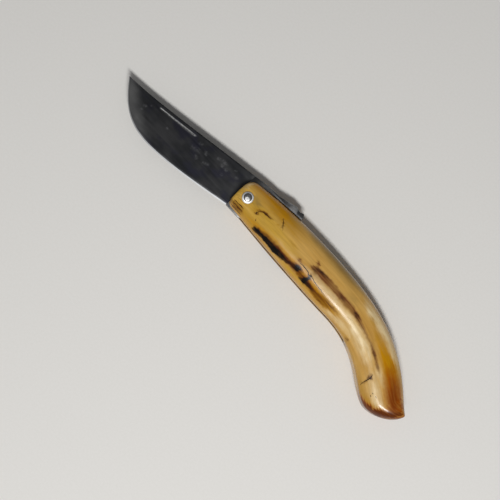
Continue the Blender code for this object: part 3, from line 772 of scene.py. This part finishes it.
def line_field(spots, lines):
    """How far to the left of the nearest line each spot lies, and the line's half width there, which is
    negative away from it: a face that the line crosses then shows it sharp."""
    nearest = np.full(len(spots), LINE_REACH)
    field = np.tile((2 * LINE_REACH, -LINE_REACH, 0.0), (len(spots), 1))
    for line in lines:
        for away, left, beyond, values in nearest_on(spots, line):
            closer = away < nearest
            field[closer, 0] = left[closer]
            field[closer, 1] = (values[:, 0] - beyond)[closer]
            nearest = np.minimum(nearest, away)
    return field


def noise_at(places, *sizes):
    """Smooth noise, from -1 to 1, whose features have these sizes."""
    return np.array([noise.noise(Vector(place)) for place in places / np.array(sizes)])


def on_side(places, side):
    """1 on the near cheek (side 1) or the far cheek (side -1), fading out past the flanks' middle."""
    return np.clip(1 + side * places[:, 2] / FLANK_FADE, 0, 1)


def along_horn(places):
    """Each place in the horn's own bend, in millimetres along its middle line, across it and through it,
    and the direction of that line there."""
    middles = np.array([((back + belly) / 2).xy for back, belly, _ in handle_stations()]) * MM
    nearest = np.full(len(places), np.inf)
    grain = np.zeros((len(places), 3))
    direction = np.zeros((len(places), 2))
    walked = 0.0
    for start, end in zip(middles, middles[1:]):
        run = end - start
        length = math.hypot(*run)
        away, left, _, share = next(nearest_on(places[:, :2], [(*start, 0), (*end, 1)]))
        closer = away < nearest
        grain[closer] = np.stack([walked + share[:, 0] * length, left, places[:, 2]], axis=1)[closer]
        direction[closer] = run / length
        nearest = np.minimum(nearest, away)
        walked += length
    return grain, direction


def horn_marks(places):
    """Every tint's strength and thin line's field at each place on the horn, frayed along the grain."""
    grain, direction = along_horn(places)
    across = np.stack([-direction[:, 1], direction[:, 0]], axis=1)
    fibres = noise_at(grain, *LONG_FIBRE) + FINE_SHARE * noise_at(grain, *FINE_FIBRE)
    slide = direction * fibres[:, None]
    sway = across * noise_at(grain + SWAY_SHIFT, *SWAY_SIZE)[:, None]
    ripple = across * noise_at(grain + RIPPLE_SHIFT, *RIPPLE_SIZE)[:, None]
    near_spots, far_spots = as_seen(places), places[:, :2]
    tints, lines = {}, {}
    for name, strokes in NEAR_MARKS.items():
        fray, edge = FRAYS.get(name, SOFT_FRAY), EDGES.get(name, SOFT_EDGE)
        moved = slide * fray + sway * TINT_SWAY + ripple * TINT_RIPPLE
        near = tint_strength(near_spots + moved, strokes, edge) * on_side(places, 1)
        far = tint_strength(far_spots + moved, FAR_MARKS[name], edge) * on_side(places, -1)
        tints[name] = np.maximum(near, far)
    for name, strokes in NEAR_LINES.items():
        moved = sway * LINE_SWAY + ripple * LINE_RIPPLE
        near = line_field(near_spots + moved, strokes)
        far = line_field(far_spots + moved, FAR_LINES[name])
        lines[name] = np.where(places[:, 2:] > 0, near, far)
    # Painted shade along the belly's middle and in the slot
    sawn = np.clip((SLOT_SHADE_HALF - np.abs(places[:, 2])) / SLOT_SHADE_FADE, 0, 1)
    sawn = sawn * np.clip((SLOT_SHADE_REACH - places[:, 0]) / SLOT_SHADE_END_FADE, 0, 1)
    tints["sawn"] = np.where(grain[:, 1] < 0, sawn, 0)
    return tints, lines, grain


# Pieces


def section_matrix(back, belly, half):
    """Places a unit section between the back and the belly."""
    reach = (back - belly) / 2
    across = Vector((0, 0, half))
    columns = (reach, across, reach.cross(across).normalized(), (back + belly) / 2)
    return Matrix([[column[row] for column in columns] for row in range(3)] + [[0, 0, 0, 1]])


def squared(value):
    return math.copysign(abs(value) ** (2 / SECTION_POWER), value)


def horn_blank():
    """The horn before it is cut for the blade, drawn out section by section, with a flat along its belly."""
    overshoot = (1 - (BELLY_FLAT / 2 / CHEEK_HALF) ** SECTION_POWER) ** (-1 / SECTION_POWER)
    shape = bmesh.new()
    ring = bmesh.ops.create_circle(shape, segments=HORN_SIDES, radius=1)["verts"]
    for corner in ring:
        along, across = squared(corner.co.x), squared(corner.co.y)
        corner.co = (max(along if along > 0 else along * overshoot, -1), across, 0)
    edges = list(shape.edges)
    front = list(edges)
    stations = [section_matrix(*station) for station in handle_stations()]
    bmesh.ops.transform(shape, matrix=stations[0], verts=ring)
    for before, after in zip(stations, stations[1:]):
        drawn = bmesh.ops.extrude_edge_only(shape, edges=edges)["geom"]
        edges = [part for part in drawn if isinstance(part, bmesh.types.BMEdge)]
        ring = [part for part in drawn if isinstance(part, bmesh.types.BMVert)]
        bmesh.ops.transform(shape, matrix=after @ before.inverted(), verts=ring)
    bmesh.ops.edgeloop_fill(shape, edges=front)
    bmesh.ops.edgeloop_fill(shape, edges=edges)
    return shape


def refine_lines(horn):
    """Evens the horn's faces out, and divides those that a crack or furrow crosses."""
    shape = bmesh.new()
    shape.from_mesh(horn.data)
    for _ in range(SMOOTH_PASSES):
        bmesh.ops.smooth_vert(
            shape, verts=shape.verts, factor=0.5, use_axis_x=True, use_axis_y=True, use_axis_z=True
        )
    shape.to_mesh(horn.data)
    _, lines, _ = horn_marks(places_of(horn))
    sharp = np.max([field[:, 1] - np.abs(field[:, 0]) for field in lines.values()], axis=0) > -GROOVE_HALF
    shape.verts.ensure_lookup_table()
    fine = [edge for edge in shape.edges if sharp[edge.verts[0].index] or sharp[edge.verts[1].index]]
    bmesh.ops.subdivide_edges(shape, edges=fine, cuts=1, use_grid_fill=True)
    shape.to_mesh(horn.data)
    shape.free()


def carve_marks(horn):
    """Sinks the furrows and the waves that scraping leaves into the outer surface, and keeps its marks."""
    places = places_of(horn)
    tints, lines, grain = horn_marks(places)
    sunk = SCRAPE_DEPTH * (1 + noise_at(grain, *SCRAPE_SIZE)) / 2
    left, half = lines["furrow"][:, 0], lines["furrow"][:, 1]
    sunk += FURROW_DEPTH * np.exp(-((left / GROOVE_HALF) ** 2)) * np.clip(half / GROOVE_HALF, 0, 1)
    outward = np.empty(len(places) * 3)
    horn.data.vertex_normals.foreach_get("vector", outward)
    clear = np.clip((np.abs(places[:, 2]) - SLOT_HALF * MM) / SLOT_MARGIN - SLOT_CLEAR, 0, 1)
    carved = places - outward.reshape(-1, 3) * (sunk * clear)[:, None]
    horn.data.vertices.foreach_set("co", (carved / MM + np.array(pivot)).ravel())
    for name, values in [*tints.items(), *lines.items()]:
        add_attribute(horn, name, values)
    add_attribute(horn, "grain", grain / MM)
    horn.data.update()


def make_horn():
    """One piece of horn, cut for the blade, bored for the rivet, and marked by its growth, with painted
    highlights and shade among the marks.
    """
    horn = add_piece("horn_grip", horn_blank())
    slot = add_piece("slot_cutter", plate(slot_outline(), SLOT_HALF))
    beyond = CHEEK_HALF + CUT_OVER
    hole, seat = PIN_RADIUS + PIN_FIT, WASHER_RADIUS + SEAT_FIT
    upper = [(0, beyond), (seat, beyond), (seat, SEAT_HALF), (hole, SEAT_HALF)]
    lower = [(radius, -height) for radius, height in reversed(upper)]
    bore = add_piece("bore_cutter", turned(upper + lower))
    join_shape(horn, "DIFFERENCE", slot)
    join_shape(horn, "DIFFERENCE", bore)
    voxels = horn.modifiers.new("even faces", "REMESH")
    voxels.mode = "VOXEL"
    voxels.voxel_size = HORN_VOXEL
    bake_modifiers(horn, slot, bore)
    refine_lines(horn)
    carve_marks(horn)
    horn.data.shade_smooth()
    return horn


def blade_half():
    """The upper half of the ground blade, from the middle of its spine to its edge."""
    spine, edge = spine_line(), edge_line()
    shape = bmesh.new()
    rows = 4 + FACE_STEPS
    bmesh.ops.create_grid(shape, x_segments=BLADE_STEPS, y_segments=rows, size=0.5)
    start = PLUNGE_REACH + SEAT_GAP
    for corner in shape.verts:
        along = round((corner.co.x + 0.5) * BLADE_STEPS)
        row = round((corner.co.y + 0.5) * rows)
        inset = STUB_INSET if along == 0 else 0
        share = 1 - (1 - max(along - 1, 0) / (BLADE_STEPS - 1)) ** TIP_CROWDING
        x = STUB_LENGTH - PLUNGE_REACH if along == 0 else -start - (BLADE_REACH - start) * share
        top, bottom = height_at(spine, x) - inset, height_at(edge, x) + inset
        half = min((BLADE_THICK + (TIP_THICK - BLADE_THICK) * share) / 2, TIP_SLOPE * (top - bottom))
        waver = 1 + HONE_WAVER * noise.noise(Vector((x * HONE_WAVES, 0, 0)))
        bevel = min(BEVEL_WIDTH * waver, 0.3 * (top - bottom))
        shoulder = min(BEVEL_THICK / 2, 0.6 * half)
        rounding = min(SPINE_ROUND, 0.1 * (top - bottom))
        turn = ROUND_MIDDLE * rounding
        profile = [(top, 0), (top, half - rounding), (top - turn, half - turn)]
        for i in range(FACE_STEPS + 1):
            t = i / FACE_STEPS
            y = top - rounding + (bottom + bevel - top + rounding) * t
            profile.append((y, half + (shoulder - half) * t))
        profile.append((bottom, 0))
        corner.co = (x, *profile[row])
    return shape


def nail_nick():
    """The long shallow hollow that a thumbnail catches, along the spine."""
    spine, edge = spine_line(), edge_line()
    shape = bmesh.new()
    bmesh.ops.create_uvsphere(shape, u_segments=64, v_segments=24, radius=1)
    ends = [-NICK_REACH - NICK_LENGTH / 2, -NICK_REACH + NICK_LENGTH / 2]
    low, high = (height_at(spine, x) for x in ends)
    depth_share = NICK_INSET / (height_at(spine, -NICK_REACH) - height_at(edge, -NICK_REACH))
    taper = (NICK_REACH - PLUNGE_REACH) / (BLADE_REACH - PLUNGE_REACH)
    half = (BLADE_THICK + (TIP_THICK - BLADE_THICK) * taper) / 2
    centre = Vector((-NICK_REACH, height_at(spine, -NICK_REACH) - NICK_INSET, half * (1 - depth_share)))
    turn = Matrix.Rotation(math.atan2(high - low, NICK_LENGTH), 4, "Z")
    size = Matrix.Diagonal((NICK_LENGTH / 2, NICK_WIDTH / 2, NICK_DEPTH, 1))
    bmesh.ops.transform(shape, matrix=Matrix.Translation(centre) @ turn @ size, verts=shape.verts)
    return shape


def make_blade():
    """The forged blade: ground faces, sharpened bevel, nail nick, flat tang and tail lever."""
    shape = blade_half()
    bmesh.ops.mirror(shape, geom=[*shape.verts, *shape.edges, *shape.faces], merge_dist=SAME_POINT, axis="Z")
    bmesh.ops.remove_doubles(shape, verts=shape.verts, dist=SAME_RIM)
    bmesh.ops.holes_fill(shape, edges=[e for e in shape.edges if e.is_boundary])
    blade = add_piece("steel_blade", shape)
    tang = add_piece("tang_blank", plate(tang_outline(), TANG_THICK / 2))
    rounded = tang.modifiers.new("filed rims", "BEVEL")
    rounded.width = TAIL_EDGE
    rounded.segments = 2
    rounded.limit_method = "ANGLE"
    rounded.angle_limit = math.radians(60)
    beyond = TANG_THICK / 2 + CUT_OVER
    hole = PIN_RADIUS + PIN_FIT
    bore = add_piece("tang_bore", turned([(0, beyond), (hole, beyond), (hole, -beyond), (0, -beyond)]))
    nick = add_piece("nail_nick", nail_nick())
    join_shape(blade, "UNION", tang)
    join_shape(blade, "DIFFERENCE", bore)
    join_shape(blade, "DIFFERENCE", nick)
    bake_modifiers(blade, tang, bore, nick)

    places = places_of(blade)
    edge_x, edge_y = np.array([p.xy * MM for p in reversed(edge_line())]).T
    above_edge = places[:, 1] - np.interp(places[:, 0], edge_x, edge_y)
    ground = places[:, 0] < -PLUNGE_REACH * MM + 0.01
    add_attribute(blade, "above_edge", np.where(ground, above_edge, UNGROUND))
    for name, strokes in BLADE_MARKS.items():
        add_attribute(blade, name, tint_strength(places[:, :2], strokes, SOFT_EDGE))
    smooth_shaded(blade, 25)
    return blade


def make_rivet():
    """A pin peened to a dome over the washer at each end, with the hammer's small flats on its heads."""
    seat = SEAT_HALF + 2 * SEAT_GAP + WASHER_THICK
    dome = quarter_turn(DOME_STEPS)
    upper = [(HEAD_RADIUS * math.sin(a), seat + HEAD_RISE * math.cos(a) ** DOME_POWER) for a in dome]
    upper.append((PIN_RADIUS, seat))
    lower = [(radius, -height) for radius, height in reversed(upper)]
    shape = turned(upper + lower)
    for corner in shape.verts:
        side = math.copysign(1, corner.co.z)
        for tilt_x, tilt_y in HAMMER_FLATS:
            flat = seat + HEAD_RISE - tilt_x * corner.co.x - tilt_y * (corner.co.y - FLATS_RIDGE)
            corner.co.z = side * min(abs(corner.co.z), flat)
    rivet = add_piece("peened_rivet", shape)
    smooth_shaded(rivet, 50)
    return rivet


def make_washer(name, side):
    """A washer, its edges rounded by wear and its rim drawn down a little by the riveting."""
    edge = WASHER_EDGE
    hole = PIN_RADIUS + PIN_FIT
    bottom = SEAT_HALF + SEAT_GAP
    top = bottom + WASHER_THICK
    rim = top - WASHER_DISH
    quarter = quarter_turn(RIM_STEPS)
    inner = WASHER_RADIUS - edge
    rim_top = [(inner + edge * math.sin(a), rim - edge + edge * math.cos(a)) for a in quarter]
    rim_low = [(inner + edge * math.cos(a), bottom + edge - edge * math.sin(a)) for a in quarter]
    profile = [(hole, top), *rim_top, *rim_low, (hole, bottom), (hole, top)]
    shape = turned([(radius, side * height) for radius, height in profile])
    washer = add_piece(name, shape)
    smooth_shaded(washer)
    return washer


# Materials


def rgb(hex_colour):
    """An sRGB hex colour as linear red, green, blue and alpha."""
    parts = [int(hex_colour[i : i + 2], 16) / 255 for i in (1, 3, 5)]
    return (*((p / 12.92 if p <= 0.04045 else ((p + 0.055) / 1.055) ** 2.4) for p in parts), 1)


def set_inputs(tree, node, inputs):
    for name, value in inputs.items():
        if isinstance(value, bpy.types.NodeSocket):
            tree.links.new(value, node.inputs[name])
        else:
            node.inputs[name].default_value = value


def add_node(tree, kind, inputs=None, **settings):
    """Adds a node, with its settings, and sets or links its inputs."""
    made = tree.nodes.new(kind)
    for name, value in settings.items():
        setattr(made, name, value)
    set_inputs(tree, made, inputs or {})
    return made


def new_material(name):
    look = bpy.data.materials.new(name)
    look.use_nodes = True
    return look, look.node_tree, look.node_tree.nodes["Principled BSDF"]


def object_place(tree):
    return add_node(tree, "ShaderNodeTexCoord").outputs["Object"]


def pattern(tree, place, sizes, detail=3, shift=0.0):
    """Noise whose features have these sizes in millimetres."""
    scale = tuple(MM / size for size in sizes)
    spread = {"Vector": place, "Scale": scale, "Location": (shift, shift, shift)}
    placed = add_node(tree, "ShaderNodeMapping", spread).outputs["Vector"]
    inputs = {"Vector": placed, "Scale": 1, "Detail": detail}
    return add_node(tree, "ShaderNodeTexNoise", inputs).outputs["Fac"]


def ramp(tree, value, start, end, low=0.0, high=1.0):
    """A value drawn out smoothly between a low and a high end."""
    inputs = {"Value": value, "From Min": start, "From Max": end, "To Min": low, "To Max": high}
    return add_node(tree, "ShaderNodeMapRange", inputs, interpolation_type="SMOOTHSTEP").outputs["Result"]


def paint(tree, colour, mask, tint):
    """A colour with a tint laid over it."""
    inputs = {0: mask, 6: colour, 7: rgb(tint)}
    return add_node(tree, "ShaderNodeMix", inputs, data_type="RGBA").outputs[2]


def stored(tree, name, output="Fac"):
    """A value that the piece keeps at each of its points."""
    return add_node(tree, "ShaderNodeAttribute", attribute_name=name).outputs[output]


def bump(tree, height, distance):
    relief = {"Height": height, "Strength": BUMP_STRENGTH, "Distance": distance}
    return add_node(tree, "ShaderNodeBump", relief).outputs["Normal"]


def mark_mask(tree, mark, breakup, amount, most):
    """A tint's strength on the surface, broken up by a pattern."""
    part = ramp(tree, breakup, 0.25, 0.75, (1 - amount) * most, (1 + amount) * most)
    factors = {0: stored(tree, mark), 1: part}
    return add_node(tree, "ShaderNodeMath", factors, operation="MULTIPLY", use_clamp=True).outputs[0]


def line_mask(tree, line, softness):
    """A thin line, from its field: 1 in its middle, 0 past its half width. Softness is in millimetres."""
    parts = add_node(tree, "ShaderNodeSeparateXYZ", {"Vector": stored(tree, line, "Vector")}).outputs
    away = add_node(tree, "ShaderNodeMath", {0: parts["X"]}, operation="ABSOLUTE").outputs[0]
    depth = add_node(tree, "ShaderNodeMath", {0: parts["Y"], 1: away}, operation="SUBTRACT").outputs[0]
    return ramp(tree, depth, 0.0, softness)


def polished_horn():
    """Horn, scraped and polished: honey clouds drawn out along the growth, pale ivory zones, ochre and amber
    in its outer layers, dark streaks and flaws where the bark side shows, painted highlights beside the
    gloss, on the bend, on the butt and along the belly's arris, painted shade along the back, beside the
    washer, under the front furrows, at the butt's rim and along the belly's slot, and a soft gloss."""
    look, tree, shader = new_material("polished_horn")
    grain = stored(tree, "grain", "Vector")
    clouds = pattern(tree, grain, (26, 5, 6), 4)
    fibres = pattern(tree, grain, (12, 0.8, 0.8), 4)
    mottle = pattern(tree, grain, (4, 1.6, 1.6), 5)

    colour = paint(tree, rgb("#c69c52"), ramp(tree, clouds, 0.34, 0.66), "#b88a40")
    layers = (
        # yellow in the horn, with a painted highlight along the belly's arris
        ("lemon_and_arris_highlight", clouds, 0.25, 0.8, "#bd952e"),
        # pale ivory in the horn, with painted highlights beside the gloss, on the bend and on the butt
        ("cream_and_highlight", mottle, 0.3, 0.9, "#e4cc9c"),
        ("gold", fibres, 0.35, 0.8, "#a67810"),
        # greyish horn, with painted shade along the back and beside the washer
        ("tan_and_shade", fibres, 0.3, 0.8, "#7c6636"),
        ("ochre", fibres, 0.2, 1.0, "#b67e00"),
        ("amber", fibres, 0.25, 0.95, "#944a00"),
        ("russet", fibres, 0.4, 0.85, "#6e2e00"),
        ("umber", fibres, 0.35, 0.95, "#6c3e1c"),
        # dark streaks in the horn, with painted shade under the front furrows and at the butt's rim
        ("brown_and_shade", fibres, 0.3, 0.95, "#542400"),
        ("bark", mottle, 0.4, 0.95, "#2c140a"),
        ("dark", mottle, 0.15, 1.0, "#0c0502"),
        # painted shade in the slot and along the belly's middle
        ("sawn", mottle, 0.2, 0.85, "#2a1606"),
    )
    for mark, breakup, amount, most, tint in layers:
        colour = paint(tree, colour, mark_mask(tree, mark, breakup, amount, most), tint)
    colour = paint(tree, colour, line_mask(tree, "furrow", FURROW_SOFT), "#4c2806")
    colour = paint(tree, colour, line_mask(tree, "crack", CRACK_SOFT), "#1a0c04")
    tone = {0: 1.0, 6: colour, 7: ramp(tree, fibres, 0.3, 0.7, 0.9, 1.06)}
    colour = add_node(tree, "ShaderNodeMix", tone, data_type="RGBA", blend_type="MULTIPLY").outputs[2]
    rough = ramp(tree, mottle, 0.3, 0.7, *HORN_ROUGHNESS)
    relief = bump(tree, fibres, FIBRE_RELIEF)
    set_inputs(tree, shader, {"Base Color": colour, "Roughness": rough, "Normal": relief})
    set_inputs(tree, shader, {"IOR": HORN_IOR, "Specular IOR Level": HORN_GLOSS})
    return look


def patinated_steel():
    """Carbon steel, ground and long used: dark grey patina with bluish clouds, fine grinding lines along the
    blade, pale pits, a tip, tang and tail end lightened partly by rubbing and partly as a painted sheen,
    painted highlights along the tang's and tail's top edges, under the tang and in the nail nick, and a
    bright line where the edge has been stoned."""
    look, tree, shader = new_material("patinated_carbon_steel")
    place = object_place(tree)
    clouds = pattern(tree, place, (13, 7, 7), 5)
    tints = pattern(tree, place, (10, 8, 8), 3, shift=3.7)
    lines = pattern(tree, place, (22, 0.35, 0.35), 3)
    specks = pattern(tree, place, (0.9, 0.9, 0.9), 3)

    colour = paint(tree, rgb("#333436"), ramp(tree, clouds, 0.3, 0.7), "#4a4a4b")
    colour = paint(tree, colour, ramp(tree, tints, 0.5, 0.68, 0, 0.8), "#34343f")
    # steel lightened by rubbing, and partly a painted sheen at the tip, the tang and the tail's end
    colour = paint(tree, colour, mark_mask(tree, "rubbed_and_sheen", clouds, 0.4, 0.7), "#848483")
    colour = paint(tree, colour, mark_mask(tree, "pitted", specks, 0.8, 0.4), "#8a8a8b")
    honed = ramp(tree, stored(tree, "above_edge"), *HONED_FADE)
    # painted highlights on the tang, the tail and the nail nick, over steel bared by wear
    worn_and_highlight = mark_mask(tree, "worn_and_highlight", specks, 0.4, 0.8)
    colour = paint(tree, colour, honed, "#a4a5a6")
    colour = paint(tree, colour, worn_and_highlight, "#c4c4c2")
    rough = ramp(tree, lines, 0.2, 0.8, *STEEL_ROUGHNESS)
    for part, dull in ((honed, HONED_ROUGHNESS), (worn_and_highlight, WORN_ROUGHNESS)):
        rough = add_node(tree, "ShaderNodeMix", {0: part, 2: rough, 3: dull}).outputs[0]
    relief = bump(tree, lines, GRINDING_RELIEF)
    set_inputs(tree, shader, {"Base Color": colour, "Roughness": rough, "Normal": relief, "Metallic": 1})
    return look


def worn_steel(name, light, stain_and_rim_shade, roughness, rim):
    """Handled steel: bright, with stains, a painted shade that darkens it towards its rim where it meets the
    piece around it, and fine scratches from wear.
    """
    look, tree, shader = new_material(name)
    place = object_place(tree)
    stains = pattern(tree, place, (1.2, 1.2, 1.2), 4)
    centred = {"Vector": place, "Location": (-pivot.x, -pivot.y, 0), "Scale": (1, 1, 0)}
    spot = add_node(tree, "ShaderNodeMapping", centred).outputs["Vector"]
    radius = add_node(tree, "ShaderNodeVectorMath", {0: spot}, operation="LENGTH").outputs["Value"]
    # Painted shade: darker towards the rim, in the gap between the rivet's head and its washer and where the
    # washer sits in its recess
    edge = ramp(tree, radius, 0.75 * rim, rim, 0.0, 0.35)
    dirt_and_rim_shade = add_node(tree, "ShaderNodeMath", {0: stains, 1: edge}, operation="ADD").outputs[0]
    colour = paint(tree, rgb(light), ramp(tree, dirt_and_rim_shade, 0.42, 0.8), stain_and_rim_shade)
    scratches = pattern(tree, place, (3, 0.2, 0.2), 2)
    rough = ramp(tree, scratches, 0.2, 0.8, roughness - 0.06, roughness + 0.1)
    set_inputs(tree, shader, {"Base Color": colour, "Roughness": rough, "Metallic": 1})
    return look


# Studio


def pale_floor():
    """Matt paper, with a faint tooth."""
    look, tree, shader = new_material("pale_paper")
    place = object_place(tree)
    colour = paint(tree, rgb("#dcdad5"), pattern(tree, place, (1.1, 1.1, 1.1), 2), "#e2e0dc")
    set_inputs(tree, shader, {"Base Color": colour, "Roughness": PAPER_ROUGHNESS})
    return look


def add_softbox(name, place, width, length, power):
    """A soft area lamp that faces the knife, its long side along the knife."""
    lamp = bpy.data.lights.new(name, "AREA")
    lamp.shape = "RECTANGLE"
    lamp.size = length
    lamp.size_y = width
    lamp.energy = power
    made = add_object(name, lamp)
    away = Vector(place).normalized()
    along = (Vector((1, 0, 0)) - away * away.x).normalized()
    axes = (along, away.cross(along), away)
    made.matrix_world = Matrix.Translation(place) @ turned_to(axes)


def make_studio():
    """A pale floor in a room that is a little brighter on the belly's side, with a soft lamp above there."""
    shape = bmesh.new()
    bmesh.ops.create_circle(shape, segments=64, radius=FLOOR_RADIUS, cap_ends=True)
    mesh = bpy.data.meshes.new("floor")
    shape.to_mesh(mesh)
    shape.free()
    floor = add_object("floor", mesh)
    floor.data.materials.append(pale_floor())

    world = bpy.data.worlds.new("studio")
    world.use_nodes = True
    tree = world.node_tree
    direction = add_node(tree, "ShaderNodeTexCoord").outputs["Generated"]
    height = add_node(tree, "ShaderNodeSeparateXYZ", {"Vector": direction}).outputs["Y"]
    strength = ramp(tree, height, -1, 1, ROOM_BELLY_SIDE, ROOM_BACK_SIDE)
    set_inputs(tree, tree.nodes["Background"], {"Color": rgb("#f2f2f4"), "Strength": strength})
    bpy.context.scene.world = world
    add_softbox("belly_softbox", LAMP_PLACE, LAMP_WIDTH, LAMP_LENGTH, LAMP_WATTS)


def make_camera():
    camera = bpy.data.cameras.new("camera")
    camera.lens = LENS_MM
    camera.sensor_width = SENSOR_MM
    made = add_object("camera", camera)
    made.matrix_world = Matrix.Translation(pivot + camera_place()) @ turned_to(camera_axes())
    bpy.context.scene.camera = made


def dress(piece, look, body, node):
    piece.data.materials.clear()
    piece.data.materials.append(look)
    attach(piece, body)
    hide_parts(node)


dress(make_horn(), polished_horn(), "handle", "horn_handle")
dress(make_blade(), patinated_steel(), "blade", "blade")
# The second colour of the rivet and the washers serves both their stains and the painted shade at their rims
rivet_look = worn_steel("peened_steel", "#b0b0ae", "#565452", 0.28, HEAD_RADIUS)
dress(make_rivet(), rivet_look, "handle", "pivot_rivet")
washer_look = worn_steel("washer_steel", "#f0f0ee", "#b4b3af", 0.5, WASHER_RADIUS)
dress(make_washer("near_washer", 1), washer_look, "handle", "upper_washer")
dress(make_washer("far_washer", -1), washer_look, "handle", "lower_washer")
make_studio()
make_camera()
bpy.context.scene.view_settings.view_transform = "Standard"
